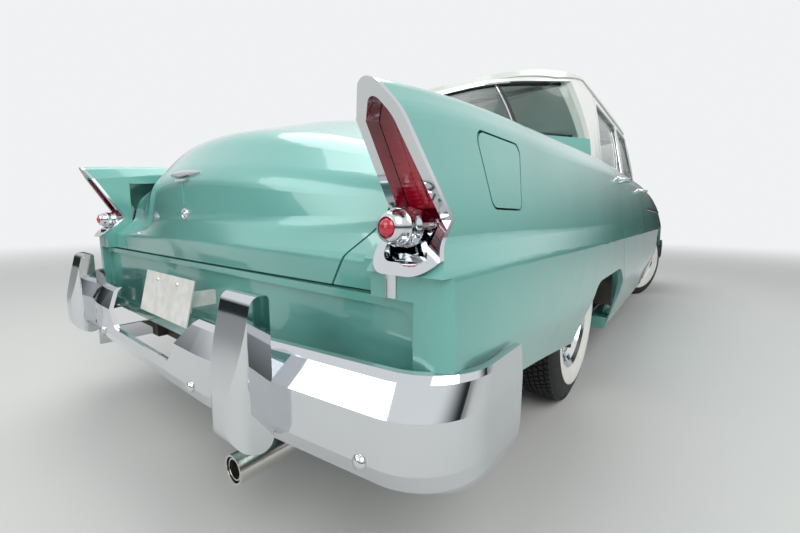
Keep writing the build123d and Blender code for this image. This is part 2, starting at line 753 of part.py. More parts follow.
def bumper_guard(sign, side):
    """Upright guard astride the blade."""
    x0 = sign * (BUMPER_REACH - 30)
    reach = sign * GUARD_REACH
    top_x = sign * (GUARD_REACH - 42)
    profile = [(x0, GUARD_BOTTOM), (reach, GUARD_BOTTOM + 40), (reach, GUARD_TOP - 170),
        (top_x, GUARD_TOP),
               (x0, GUARD_TOP)]
    centre = side * GUARD_Y
    upright = prism("y", profile, centre - GUARD_HALF, centre + GUARD_HALF, [30, 50, 90, 30, 10])
    plan = prism("z", [(x0, centre - GUARD_HALF), (reach, centre - GUARD_HALF),
        (reach, centre + GUARD_HALF),
                       (x0, centre + GUARD_HALF)], 300, 700, [0, GUARD_ROUND, GUARD_ROUND, 0])
    return flatten(upright & plan)


def bumper(sign, notch):
    """A bumper: blade, two guards and two brackets to the frame rails."""
    whole = bumper_blade(sign, notch)
    for side in (1, -1):
        whole = flatten(whole + bumper_guard(sign, side))
        low, high = sorted((sign * RAIL_END, sign * (BUMPER_REACH - 6)))
        bracket = block((low, high), (side * RAIL_Y - 6, side * RAIL_Y + 6), BRACKET_Z)
        whole = flatten(whole + bracket)
    return whole


def wheel_centre(axle_x, side):
    """Centre of a wheel on the ground plane's height."""
    return Vector(axle_x, side * TRACK / 2, TYRE_RADIUS)


def steered(shape, side):
    """Turn a front corner's piece about its kingpin to the rest position."""
    pivot = Axis((FRONT_AXLE_X, side * KINGPIN_Y, 0), (0, 0, 1))
    return shape.rotate(pivot, STEER_AT_REST)


def steered_point(point, side):
    """The same turn for a point."""
    turn = math.radians(STEER_AT_REST)
    x, y = point[0] - FRONT_AXLE_X, point[1] - side * KINGPIN_Y
    return (
        FRONT_AXLE_X + x * math.cos(turn) - y * math.sin(turn),
        side * KINGPIN_Y + x * math.sin(turn) + y * math.cos(turn),
        point[2],
    )


def tyre(axle_x, side):
    """Cross-ply tyre with a flat tread and a full side wall."""
    half = TYRE_WIDTH / 2
    seat = RIM_WIDTH / 2
    tread = half - 22
    profile = [
        (RIM_RADIUS + 0.0, -seat + 10), (RIM_RADIUS + 14, -seat), (RIM_RADIUS + 75, -half),
        (TYRE_RADIUS - 48, -half + 2), (TYRE_RADIUS - 8, -tread), (TYRE_RADIUS, -tread + 14),
        (TYRE_RADIUS, tread - 14), (TYRE_RADIUS - 8, tread), (TYRE_RADIUS - 48, half - 2),
        (RIM_RADIUS + 75, half), (RIM_RADIUS + 14, seat), (RIM_RADIUS, seat - 10),
    ]
    return turned(profile, wheel_centre(axle_x, side), (0, side, 0))


def road_wheel(axle_x, side):
    """Pressed steel wheel: rim, dished disc, drum and domed cover."""
    seat = RIM_WIDTH / 2
    bore = SPINDLE_RADIUS + SPINDLE_CLEARANCE
    profile = [
        (RIM_RADIUS, -seat + 10), (RIM_RADIUS + 13, -seat - 1), (RIM_RADIUS + 13, -seat - 7),
        (RIM_RADIUS - 8, -seat + 4), (RIM_RADIUS - 12, -24), (RIM_RADIUS - RIM_DEPTH, -14),
        (DRUM_RADIUS + 4, 0), (DRUM_RADIUS, -DRUM_WIDTH), (DRUM_RADIUS - 10, -DRUM_WIDTH),
        (DRUM_RADIUS - 12, -8), (44, -8), (44, -DRUM_WIDTH + 6), (bore, -DRUM_WIDTH + 6),
            (bore, 20), (0, 20),
        (0, 56), (44, 52), (90, 38), (COVER_RADIUS - 40, 30), (COVER_RADIUS, 34),
            (COVER_RADIUS + 12, 44),
        (RIM_RADIUS - 8, seat - 4), (RIM_RADIUS + 13, seat + 7), (RIM_RADIUS + 13, seat + 1),
        (RIM_RADIUS, seat - 10),
    ]
    return turned(profile, wheel_centre(axle_x, side), (0, side, 0))


def knuckle(side):
    """Stub axle, kingpin post and steering arm, before it is turned."""
    pin = (FRONT_AXLE_X, side * KINGPIN_Y)
    post = rod((*pin, TYRE_RADIUS - KNUCKLE_HALF + 0.4), (*pin, TYRE_RADIUS + KNUCKLE_HALF - 0.4), 22)
    spindle = rod((*pin, TYRE_RADIUS), (FRONT_AXLE_X, side * (TRACK / 2 + 19), TYRE_RADIUS),
        SPINDLE_RADIUS)
    boss = rod((*pin, TYRE_RADIUS), (FRONT_AXLE_X, side * (KINGPIN_Y + 30), TYRE_RADIUS), 34)
    arm = block(
        (FRONT_AXLE_X - STEER_ARM - 14, FRONT_AXLE_X), (side * KINGPIN_Y - 14, side * KINGPIN_Y + 14),
        (TYRE_RADIUS - 92, TYRE_RADIUS - 76),
    )
    return flatten(flatten(flatten(post + spindle) + boss) + arm)


def front_suspension():
    """Crossmember, and on each side a tower with upper and lower arms."""
    x = FRONT_AXLE_X
    rail_inner = RAIL_Y - RAIL_WIDTH / 2
    rail_outer = RAIL_Y + RAIL_WIDTH / 2
    parts = [block((x - 60, x + 60), (-rail_inner, rail_inner), (TYRE_RADIUS - 30, TYRE_RADIUS + 20))]
    for side in (1, -1):
        low, high = TYRE_RADIUS - KNUCKLE_HALF - 18, TYRE_RADIUS + KNUCKLE_HALF
        whole = block((x - 40, x + 40), sorted((side * rail_outer, side * (rail_outer + 35))),
            (low, high + 18))
        for z, half in ((low, 95), (high, 80)):
            inner = side * (rail_outer + 30)
            outer = side * (KINGPIN_Y + 16)
            arm = prism("z", [
                (x - half, inner), (x - 20, outer), (x + 20, outer), (x + half, inner),
            ], z, z + 18 - SPINDLE_CLEARANCE)
            whole = flatten(whole + arm)
        parts.append(whole)
    return parts


def frame_rails():
    """Two box rails with a kick over the rear axle, and crossmembers."""
    kick = KICK_HEIGHT
    low, high = RAIL_BOTTOM, RAIL_BOTTOM + RAIL_HEIGHT
    lift = 150
    profile = [
        (RAIL_END, low + lift), (1350, low + lift), (1150, low), (-870, low), (-1010, low + kick),
        (-1450, low + kick), (-1750, low + lift), (-RAIL_END, low + lift),
    ]
    upper = [(x, z + RAIL_HEIGHT) for x, z in profile]
    whole = None
    for side in (1, -1):
        edges = sorted((side * (RAIL_Y - RAIL_WIDTH / 2), side * (RAIL_Y + RAIL_WIDTH / 2)))
        rail = prism("y", profile + upper[::-1], *edges)
        whole = rail if whole is None else whole + rail
    for x, z in ((2300, low + lift), (1180, low + 52), (300, low + 52), (-600, low + 52),
        (-1500, low + kick),
                 (-2310, low + lift)):
        whole = flatten(whole) + block((x - 40, x + 40), (-RAIL_Y, RAIL_Y), (z, z + 38))
    return flatten(whole)


def floor_pan():
    """Floor, tunnel, seat step, trunk floor and the rear wheel houses."""
    rear_step = -860
    front = HOOD_TABLE[-1][0] - PANEL_GAP - 40
    skin = FLOOR_THICKNESS
    floor = block((rear_step, front), (-SILL_INNER_Y, SILL_INNER_Y), (FLOOR_Z, FLOOR_Z + skin))
    step = block((rear_step, rear_step + skin), (-620, 620), (FLOOR_Z, TRUNK_FLOOR_Z + skin))
    trunk = block((-2380, rear_step + skin), (-700, 700), (TRUNK_FLOOR_Z, TRUNK_FLOOR_Z + skin))
    tunnel = [(-TUNNEL_FOOT, FLOOR_Z - 1), (-TUNNEL_HALF, TUNNEL_TOP), (TUNNEL_HALF, TUNNEL_TOP),
        (TUNNEL_FOOT, FLOOR_Z - 1)]
    hollow = [(-TUNNEL_FOOT + skin, FLOOR_Z - 2), (-TUNNEL_HALF + skin, TUNNEL_TOP - skin),
              (TUNNEL_HALF - skin, TUNNEL_TOP - skin), (TUNNEL_FOOT - skin, FLOOR_Z - 2)]
    whole = flatten(flatten(floor + step) + trunk)
    whole = flatten(whole + prism("x", tunnel, rear_step, front)) - prism("x", hollow,
        rear_step - 1, front + 1)
    whole = flatten(whole) - block((rear_step - 10, front + 10), (-200, 200), (FLOOR_Z - 10, FLOOR_Z))
    whole = flatten(whole)
    for side in (1, -1):
        centre = (REAR_AXLE_X, side * 560, TYRE_RADIUS)
        house = Solid.make_cylinder(400, 330, Plane(origin=centre, z_dir=(0, side, 0)))
        inner = Solid.make_cylinder(390, 342,
            Plane(origin=(REAR_AXLE_X, side * 572, TYRE_RADIUS), z_dir=(0, side, 0)))
        upper = block((-1700, -700), (-920, 920), (FLOOR_Z + 60, 900))
        slot = block((REAR_AXLE_X - 70, REAR_AXLE_X + 70), sorted((side * 550, side * 580)), (340, 520))
        shell = flatten(flatten(house - inner) & upper) - slot
        whole = flatten(flatten(whole - Solid.make_cylinder(395, 400,
            Plane(origin=centre, z_dir=(0, side, 0)))) + shell)
    return whole


def side_frame():
    """Sills and centre pillars that carry the doors."""
    parts = []
    pillar_y = 760
    for side in (1, -1):
        sill_edges = [(side * y, z) for y,
            z in ((SILL_INNER_Y, SILL_BOTTOM), (868, SILL_BOTTOM), (884, SILL_TOP),
                (SILL_INNER_Y, SILL_TOP))]
        sill = prism("x", sill_edges, REAR_DOOR_FOOT - 40, FRONT_DOOR_FRONT, [10, 24, 10, 0])
        low = [(DOOR_SPLIT - 45, side * 794), (DOOR_SPLIT + 45, side * 794),
            (DOOR_SPLIT + 45, side * 822), (DOOR_SPLIT - 45, side * 822)]
        post = prism("z", low, SILL_TOP - 2, 990)
        parts.append(flatten(sill + post))
    return parts


def lamp_slab(ahead, behind):
    """A slab that follows the notched rear face of the lamp."""
    line = [LAMP_TIP, LAMP_NOTCH, LAMP_FOOT]
    return prism("y", [(x + behind, z) for x, z in line] + [(x + ahead, z) for x, z in line[::-1]],
        700, 1000)


def lamp_inside(wall):
    """Room inside the nacelle, a wall's thickness from its outside."""
    return flatten(side_hollow(wall, 150) & lamp_outline(wall, LAMP_ROOM_TOP))


def lamp_outline(inset, top):
    """The lamp seen from behind, with rounded corners, as a prism along X."""
    foot = LAMP_FOOT[1] + inset
    return prism("x", [
        (LAMP_INNER_Y + inset, foot), (LAMP_INNER_Y + inset, top), (1000, top), (1000, 820),
        (LAMP_OUTER_Y + 14 - inset, 810), (LAMP_OUTER_Y - inset, foot),
    ], -2600, -2200, [46 - inset, 24, 0, 0, 40, 56 - inset])


def tail_lamp(outer, room):
    """Left bezel with its back pan and lamp pod."""
    rim = outer & lamp_slab(0, -10) & lamp_outline(0, 1100)
    rim = flatten(flatten(rim) - block((-2600, -2200), (600, LAMP_INNER_Y), (600, 1100)))
    rim = flatten(rim - room)
    lining = flatten(room & lamp_slab(60, -10)) - lamp_room_shrunk(room)
    pan = room & lamp_slab(60, 50)
    pod_back = LAMP_NOTCH[0] + 52
    pod = turned([(0, 0), (POD_RADIUS, 0), (POD_RADIUS, 80), (POD_RADIUS - 3, 88), (POD_RADIUS - 3, 94),
                  (POD_RADIUS - 9, 96), (POD_RADIUS - 9, 102), (0, 104)],
                 (pod_back, POD_Y, POD_Z), (-1, 0, 0))
    pod = pod & lamp_slab(55, -200)
    whole = flatten(flatten(flatten(pan) + flatten(pod)) + flatten(lining))
    return flatten(whole + rim)


def lamp_room_shrunk(room):
    """The room left inside the bezel's lining."""
    return lamp_inside(LAMP_WALL + LAMP_LINING)


def tail_lens(room):
    """Left red lens with its upright ridge."""
    inner = lamp_inside(LAMP_WALL + LAMP_LINING + 1)
    tall = block((-2600, -2200), (700, 1000), (POD_Z + POD_RADIUS + 4, 950))
    return flatten(flatten(inner & lamp_slab(49.7, 24)) & tall)


def headlamp(side):
    """One round headlamp: rim and glass."""
    centre = (FENDER_NOSE_TOP - 65, side * HEADLAMP_Y, HEADLAMP_Z)
    rim = turned([
        (HEADLAMP_RADIUS - 1, 0), (HEADLAMP_RADIUS - 1, 66), (HEADLAMP_RADIUS + 16, 66),
        (HEADLAMP_RADIUS + 10, 84), (HEADLAMP_RADIUS - 4, 92), (HEADLAMP_RADIUS - 10, 84),
            (HEADLAMP_RADIUS - 10, 0),
    ], centre, (1, 0, 0))
    glass = turned([
        (0, 40), (HEADLAMP_RADIUS - 10.3, 40), (HEADLAMP_RADIUS - 10.3, 74),
            (HEADLAMP_RADIUS - 40, 90), (0, 98),
    ], centre, (1, 0, 0))
    return rim, glass


def grille():
    """Wide grille: frame, three bars and a pointed centre."""
    x = FENDER_NOSE_BOTTOM - 44
    half = FENDER_INNER_Y - 2
    frame = block((x, x + 34), (-half, half), (470, HOOD_NOSE_BOTTOM - 8))
    frame = frame - block((x - 1, x + 40), (-half + 22, half - 22), (494, HOOD_NOSE_BOTTOM - 30))
    whole = flatten(frame)
    for z, height, reach in ((540, 20, 26), (628, 46, 44), (716, 20, 26)):
        bar = prism("y", [(x + 4, z - height / 2), (x + reach, z - height / 4),
            (x + reach, z + height / 4),
                          (x + 4, z + height / 2)], -half + 10, half - 10)
        whole = flatten(whole + bar)
    for y in range(-480, 481, 160):
        whole = flatten(whole + block((x + 2, x + 12), (y - 5, y + 5), (480, 780)))
    vee = prism("x", [(-90, 668), (0, 580), (90, 668), (60, 668), (0, 612), (-60, 668)], x + 8, x + 56)
    return flatten(whole + vee)


def front_valance():
    """Painted panel under the grille."""
    x = FENDER_NOSE_BOTTOM - 44
    profile = [(x, 468), (x + 26, 468), (x + 20, 400), (x - 4, 392), (x - 4, 404)]
    return prism("y", profile, -FENDER_INNER_Y + 2, FENDER_INNER_Y - 2, [0, 12, 10, 0, 0])


def rear_panel():
    """Painted panel between the lid and the bumper, with a wide recess."""
    x = REAR_PANEL_X
    half = REAR_PANEL_HALF
    plate = prism("x", [(-half, REAR_PANEL_BOTTOM), (half, REAR_PANEL_BOTTOM),
        (half, REAR_PANEL_TOP), (-half, REAR_PANEL_TOP)],
                  x, x + REAR_PANEL_THICKNESS, [40, 40, 10, 10])
    recess = prism("x", [(-half + 16, 430), (half - 16, 430), (half - 16, 628), (-half + 16, 628)],
                   x - 1, x + RECESS_DEPTH, [30, 30, 26, 26])
    return flatten(plate - recess)


def number_plate():
    """Blank plate on two short brackets, leaning back from the panel."""
    plate = Box(PLATE_THICKNESS, PLATE_WIDTH, PLATE_HEIGHT)
    bracket = Pos(14, 0, 0) * Box(26, 18, 60)
    whole = plate + Pos(0, 110, 0) * bracket + Pos(0, -110, 0) * bracket
    placed = Pos(PLATE_X, 0, PLATE_Z) * Rot(0, PLATE_LEAN, 0) * whole
    arms = block((PLATE_X + 16, REAR_PANEL_X + RECESS_DEPTH), (-119, -101),
        (PLATE_Z - 20, PLATE_Z + 20)) + block(
        (PLATE_X + 16, REAR_PANEL_X + RECESS_DEPTH), (101, 119), (PLATE_Z - 20, PLATE_Z + 20))
    return flatten(placed + arms)


def tube_along(points, radii, radius, wall):
    """A bent pipe through points with tangent arcs."""
    path = FilletPolyline(*points, radius=radii)
    edge = path.edges()[0]
    section = Plane(origin=edge @ 0, z_dir=edge % 0) * Circle(radius)
    solid = sweep(section, path=path)
    if wall:
        inner = Plane(origin=edge @ 0, z_dir=edge % 0) * Circle(radius - wall)
        solid = solid - sweep(inner, path=path)
    return flatten(solid)


def exhaust():
    """Pipe, muffler and bright tail pipe on the right side."""
    y = -EXHAUST_Y
    pipe = tube_along(
        [(1340, -ENGINE_HALF - 24.3, 470), (1300, -290, PIPE_Z), (-900, -300, PIPE_Z), (-1560, y, 236),
         (EXHAUST_TIP, y, EXHAUST_Z)],
        [110, 400, 400], 24, 3,
    )
    muffler = rod((-420, -298, PIPE_Z + 15), (180, -298, PIPE_Z + 15), 62)
    core = rod((-440, -297, PIPE_Z), (200, -293, PIPE_Z), 22.5)
    sleeve = rod((EXHAUST_TIP - 3, y, EXHAUST_Z), (EXHAUST_TIP + 170, y, EXHAUST_Z), 33)
    bore = rod((EXHAUST_TIP - 4, y, EXHAUST_Z), (EXHAUST_TIP + 160, y, EXHAUST_Z), 28)
    whole = flatten(flatten(pipe + (muffler - core)) + (sleeve - bore))
    return whole


def rear_axle():
    """Axle tube, differential, springs and propeller shaft."""
    z = TYRE_RADIUS
    x = REAR_AXLE_X
    tube = rod((x, -TRACK / 2 + 90, z), (x, TRACK / 2 - 90, z), 36)
    spindle = rod((x, -TRACK / 2 - 19, z), (x, TRACK / 2 + 19, z), SPINDLE_RADIUS)
    bowl = Pos(x, 0, z) * Sphere(118)
    whole = flatten(flatten(tube + spindle) + bowl.solid())
    whole = flatten(whole + rod((x, 0, z), (560, 0, 320), 32))
    for side in (1, -1):
        y = side * SPRING_Y
        line = [(x + 640, 222), (x + 330, 260), (x - 300, 282), (x - 700, 346)]
        leaf = prism("y", line + [(a, b + SPRING_STACK) for a, b in line[::-1]], y - 28, y + 28)
        seat = block((x - 60, x + 60), (y - 34, y + 34), (282, z))
        whole = flatten(flatten(whole + leaf) + seat)
        rail_face = side * (RAIL_Y + RAIL_WIDTH / 2)
        for a, b in (line[0], line[-1]):
            low, high = sorted((a, a + math.copysign(24, x - a)))
            hanger = block((low, high), sorted((rail_face, y)), (b, b + SPRING_STACK + 6))
            whole = flatten(whole + hanger)
    return whole


def engine():
    """Engine block and gearbox as one plain mass."""
    block_top = 900
    top = block((1290, 1950), (-ENGINE_HALF, ENGINE_HALF), (TYRE_RADIUS + 20, block_top))
    box = block((570, 1300), (-85, 85), (RAIL_BOTTOM + 90, TYRE_RADIUS + 25))
    return flatten(top + box)


def fuel_tank():
    floor = TRUNK_FLOOR_Z
    return prism("y", [(-2240, 300), (-1760, 300), (-1740, floor), (-2250, floor)], -RAIL_Y + 50,
        RAIL_Y - 50, [40, 40, 10, 10])


def bench(profile, half, radii):
    return prism("y", profile, -half, half, radii)


def front_seat():
    base = TUNNEL_TOP
    seat = bench([(-150, base), (300, base), (330, 560), (290, SEAT_TOP), (-90, SEAT_TOP - 30),
        (-200, 1030),
                  (-300, 1030), (-250, 500), (-210, base)], SEAT_HALF,
                      [0, 0, 60, 50, 60, 45, 45, 60, 0])
    for side in (1, -1):
        legs = block((-160, 240), sorted((side * 560, side * 600)),
            (FLOOR_Z + FLOOR_THICKNESS, base + 1))
        seat = flatten(seat + legs)
    return seat


def rear_seat():
    base = TUNNEL_TOP
    edge = -852
    deck = TRUNK_FLOOR_Z + FLOOR_THICKNESS
    return bench([(edge + 2, base), (-480, base), (-430, 540), (-460, SEAT_TOP - 10),
        (-850, SEAT_TOP - 40),
                  (-960, 1040), (-1070, 1040), (-1000, deck), (edge + 2, deck)], 545,
                      [0, 0, 60, 50, 60, 45, 30, 0, 0])


def dashboard():
    """Panel under the windshield with the steering column."""
    top = flatten(Solid.extrude(Face(cabin_outline((985,) + CABIN_TABLE[0][1:], CABIN_WALL + 2)),
        Vector(0, 0, 44)))
    top = flatten(top & block((600, 1100), (-745, 745), (900, 1100)))
    face = prism("y", [(600, 1029), (640, 1029), (660, 820), (628, 800), (600, 830)], -740, 740,
        [10, 0, 0, 20, 30])
    lean = math.radians(COLUMN_LEAN)
    hub = Vector(*WHEEL_HUB)
    along = Vector(math.cos(lean), 0, -math.sin(lean))
    column = rod(tuple(hub + along * 42), tuple(hub + along * 590), 24)
    return flatten(flatten(top + face) + column)


def steering_wheel():
    """Two-spoke wheel with a thin rim, square to its column."""
    lean = math.radians(COLUMN_LEAN)
    axis = Vector(-math.cos(lean), 0, math.sin(lean))
    hub = Vector(*WHEEL_HUB)
    plane = Plane(origin=hub, x_dir=(0, 1, 0), z_dir=axis)
    rim = plane * Torus(WHEEL_RIM_RADIUS, 10)
    boss = Solid.make_cylinder(32, 52, Plane(origin=hub - axis * 41.5, z_dir=axis))
    whole = rim.solid() + boss
    for angle in (0, 180):
        spoke = Pos(WHEEL_RIM_RADIUS / 2 + 8, 0, 0) * Box(WHEEL_RIM_RADIUS - 16, 26, 9)
        whole = flatten(flatten(whole) + plane * Rot(0, 0, angle) * spoke)
    return flatten(whole)


def tie_rod():
    """Rod between the two steering arms, on the left arm's pin."""
    ends = [steered_point((FRONT_AXLE_X - STEER_ARM, side * KINGPIN_Y, 0), side) for side in (1, -1)]
    z = TYRE_RADIUS - 92 - 0.5
    bar = rod((ends[0][0], ends[0][1], z - 12), (ends[1][0], ends[1][1], z - 12), 10)
    for x, y, _ in ends:
        bar = flatten(bar + rod((x, y, z - 22), (x, y, z), 15))
    return bar


def main():
    outer = side_outer()
    hollow = side_hollow(SKIN, 150)
    thick = flatten(outer - door_hollow())
    roof, frames, panes, cowl_foot, deck_foot = cabin_parts()
    room = lamp_inside(LAMP_WALL)

    both = {
        "fender": front_fender(outer, hollow),
        "quarter": flatten(quarter(outer, hollow,
            tail_corner()) - flatten(room & lamp_slab(60.3, -20))),
    }
    front_view = [(DOOR_SPLIT + PANEL_GAP / 2, 1150), (FRONT_DOOR_FRONT, 1150),
        (FRONT_DOOR_FRONT, DOOR_BOTTOM),
                  (DOOR_SPLIT + PANEL_GAP / 2, DOOR_BOTTOM)]
    rear_view = [(DOOR_SPLIT - PANEL_GAP / 2, 1150), (DOOR_SPLIT - PANEL_GAP / 2, DOOR_BOTTOM),
        (REAR_DOOR_FOOT, DOOR_BOTTOM),
                 (REAR_DOOR_FOOT, DOGLEG_BOTTOM), (REAR_DOOR_REAR, DOGLEG_TOP), (REAR_DOOR_REAR, 1150)]
    both["door_front"] = side_door(outer, thick, front_view, [0, 0, 40, 20], frames[0])
    both["door_rear"] = side_door(outer, thick, rear_view, [0, 20, 40, 100, 120, 0], frames[1])
    for name, shape in both.items():
        save(name + "_left", shape)
        right = flatten(shape - fuel_door_view(PANEL_GAP - 2)) if name == "quarter" else shape
        save(name + "_right", mirrored(right))
    for name in ("glass_front", "glass_rear"):
        save(name + "_left", panes[name])
        save(name + "_right", mirrored(panes[name]))

    body = flatten(outer)
    save("roof", flatten(flatten(roof - body) - mirrored(body)))
    save("rear_deck", flatten(flatten(rear_deck(deck_foot) - body) - mirrored(body)))
    save("cowl", cowl(cowl_foot))
    save("hood", hood())
    save("trunk_lid", trunk_lid())
    save("windshield", panes["windshield"])
    save("rear_glass", panes["rear_glass"])
    save("fuel_door", mirrored(flatten(flatten(outer - hollow) & fuel_door_view(0))))
    save("rear_panel", rear_panel())
    save("front_valance", front_valance())
    save("grille", grille())
    save("front_bumper", bumper(1, False))
    save("rear_bumper", bumper(-1, True))
    save("number_plate", number_plate())

    lamp = tail_lamp(outer, room)
    lens = tail_lens(room)
    save("tail_lamp_bezels", lamp, mirrored(lamp))
    save("tail_lamp_lenses", lens, mirrored(lens))
    rims, glasses = zip(*[headlamp(side) for side in (1, -1)])
    save("headlamp_rims", *rims)
    save("headlamp_glass", *glasses)

    save("frame_rails", frame_rails())
    save("floor_pan", floor_pan())
    save("side_frame", *side_frame())
    save("front_suspension", *front_suspension())
    save("rear_axle", rear_axle())
    save("engine", engine())
    save("fuel_tank", fuel_tank())
    save("exhaust", exhaust())
    save("front_seat", front_seat())
    save("rear_seat", rear_seat())
    save("dashboard", dashboard())
    save("steering_wheel", steering_wheel())
    save("tie_rod", tie_rod())

    for end, axle_x in (("front", FRONT_AXLE_X), ("rear", REAR_AXLE_X)):
        for hand, side in (("left", 1), ("right", -1)):
            pair = [("tyre", tyre(axle_x, side)), ("wheel", road_wheel(axle_x, side))]
            for name, shape in pair:
                placed = steered(shape, side) if end == "front" else shape
                save(f"{name}_{end}_{hand}", placed)
    for hand, side in (("left", 1), ("right", -1)):
        save("knuckle_" + hand, steered(knuckle(side), side))


if __name__ == "__main__":
    main()
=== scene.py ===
import json
import math
import bmesh
import bpy
from mathutils import Matrix, Vector
from mathutils.bvhtree import BVHTree


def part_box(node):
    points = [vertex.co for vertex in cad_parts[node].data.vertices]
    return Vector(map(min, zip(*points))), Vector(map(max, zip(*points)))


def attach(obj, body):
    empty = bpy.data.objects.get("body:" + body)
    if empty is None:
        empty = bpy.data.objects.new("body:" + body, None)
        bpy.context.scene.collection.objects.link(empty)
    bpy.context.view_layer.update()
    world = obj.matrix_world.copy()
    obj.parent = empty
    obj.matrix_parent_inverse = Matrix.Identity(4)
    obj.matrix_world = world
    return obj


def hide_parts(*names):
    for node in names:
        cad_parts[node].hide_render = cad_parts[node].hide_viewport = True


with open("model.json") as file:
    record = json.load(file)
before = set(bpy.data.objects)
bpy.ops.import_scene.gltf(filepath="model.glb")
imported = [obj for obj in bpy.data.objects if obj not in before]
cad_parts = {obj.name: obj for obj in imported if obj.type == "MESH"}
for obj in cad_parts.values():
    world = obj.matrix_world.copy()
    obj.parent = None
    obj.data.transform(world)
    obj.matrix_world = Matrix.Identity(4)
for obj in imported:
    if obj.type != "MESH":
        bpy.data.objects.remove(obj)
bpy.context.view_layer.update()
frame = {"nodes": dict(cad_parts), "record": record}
NODES = frame["nodes"]
SIDES = (("left", 1), ("right", -1))
UP, AHEAD, ASTERN = Vector((0, 0, 1)), (1, 0, 0), (-1, 0, 0)

# How far out the lines start that look for a surface: from the ends or above, and beside
OUTSIDE, BESIDE = 3, 2

# The photograph's camera, read back from the plate, lamps, bumper and wheels
CAMERA_PLACE = (-2.875, -1.169, 0.779)
CAMERA_YAW = 38.127
CAMERA_PITCH = -7.546
CAMERA_ROLL = 0.37
CAMERA_LENS = 16.45
SENSOR = 36

# Stance, as in the solids
FRONT_AXLE, REAR_AXLE = 1.731, -1.190
TYRE_RADIUS = 0.355
HALF_TRACK = 0.745
KINGPIN_Y = 0.650
REST_STEER = math.radians(-25)


class Value:
    """A socket of a node tree that takes part in plain arithmetic."""

    def __init__(self, graph, socket):
        self.graph = graph
        self.socket = socket

    def out(self, name):
        """Another output of the same node."""
        return Value(self.graph, self.socket.node.outputs[name])

    def __add__(self, other):
        return self.graph.maths("ADD", self, other)

    def __sub__(self, other):
        return self.graph.maths("SUBTRACT", self, other)

    def __rsub__(self, other):
        return self.graph.maths("SUBTRACT", other, self)

    def __mul__(self, other):
        return self.graph.maths("MULTIPLY", self, other)

    def __pow__(self, other):
        return self.graph.maths("POWER", self, other)

    __radd__ = __add__
    __rmul__ = __mul__


class Graph:
    """A node tree that is written one node at a time."""

    def __init__(self, tree):
        self.tree = tree
        tree.nodes.clear()

    def add(self, kind, settings=None, sockets=None, output=0):
        """A node with its settings, then the values or links of its sockets."""
        node = self.tree.nodes.new(kind)
        for name, value in (settings or {}).items():
            setattr(node, name, value)
        for key, value in (sockets or {}).items():
            if isinstance(value, Value):
                self.tree.links.new(value.socket, node.inputs[key])
            else:
                node.inputs[key].default_value = value
        return Value(self, node.outputs[output]) if node.outputs else None

    def maths(self, operation, first, second=0.0):
        return self.add("ShaderNodeMath", {"operation": operation}, {0: first, 1: second})

    def step(self, value, low, high):
        """0 below low, 1 above high, smooth between."""
        return self.add("ShaderNodeMapRange", {"interpolation_type": "SMOOTHSTEP"},
                        {"Value": value, "From Min": low, "From Max": high})

    def mix(self, mask, first, second):
        """The first colour where the mask is 0, the second where it is 1."""
        return self.add("ShaderNodeMix", {"data_type": "RGBA"}, {0: mask, 6: first, 7: second}, 2)

    def place(self):
        """The point being shaded, in the car's own frame."""
        return self.add("ShaderNodeTexCoord").out("Object")

    def axes(self):
        parts = self.add("ShaderNodeSeparateXYZ", None, {0: self.place()})
        return parts.out("X"), parts.out("Y"), parts.out("Z")

    def noise(self, scale, detail=3.0, stretch=(1, 1, 1)):
        place = self.add("ShaderNodeMapping", None, {"Vector": self.place(), "Scale": stretch})
        return self.add("ShaderNodeTexNoise", None,
                        {"Vector": place, "Scale": scale, "Detail": detail})

    def waves(self, along, per_metre):
        """Even flutes of 0 to 1 across a distance."""
        return self.maths("SINE", along * per_metre) * 0.5 + 0.5

    def bump(self, height, distance, strength=1.0):
        return self.add("ShaderNodeBump", None,
                        {"Height": height, "Distance": distance, "Strength": strength})

    def surface(self, sockets):
        """The one shader of a material and its output."""
        shader = self.add("ShaderNodeBsdfPrincipled", None, sockets)
        self.add("ShaderNodeOutputMaterial", None, {"Surface": shader})


def material(name):
    """A new material and the graph of its nodes."""
    made = bpy.data.materials.new(name)
    made.use_nodes = True
    return made, Graph(made.node_tree)


def rgb(red, green, blue):
    """A screen colour of 0 to 255 as the linear colour that shows it."""
    return tuple((c / 255) ** 2.2 for c in (red, green, blue)) + (1.0,)


def cloudiness(g):
    """The soft unevenness of hand-sprayed paint."""
    return g.step(g.noise(1.6, detail=2.0), 0.35, 0.65)


def road_dust(g):
    return g.step(g.noise(14.0, detail=4.0), 0.45, 0.8)


def clear_coated(g, colour, dust, metallic=0.0):
    """Gloss paint under a clear coat with a faint orange peel."""
    g.surface({
        "Base Color": colour,
        "Roughness": 0.30 + dust * 0.06,
        "Metallic": metallic,
        "Coat Weight": 1.0,
        "Coat Roughness": 0.045,
        "Coat IOR": 1.5,
        "Normal": g.bump(g.noise(55.0, detail=2.0), distance=0.0004, strength=0.25),
    })


def enamel(name, light, deep, metallic=0.0):
    """Body paint of one colour, with fine flake."""
    made, g = material(name)
    cloud, flake, dust = cloudiness(g), g.noise(900.0, detail=1.0), road_dust(g)
    clear_coated(g, g.mix(cloud * 0.5 + flake * 0.25, light, deep), dust, metallic)
    return made


def door_paint(aqua, deep, white, belt=1.050, edge=0.0005):
    """One door: body colour to the belt, white above it."""
    made, g = material("door_two_tone")
    height = g.axes()[2]
    above = g.step(height, belt - edge, belt + edge)
    cloud, dust = cloudiness(g), road_dust(g)
    clear_coated(g, g.mix(above, g.mix(cloud * 0.5, aqua, deep), white), dust)
    return made


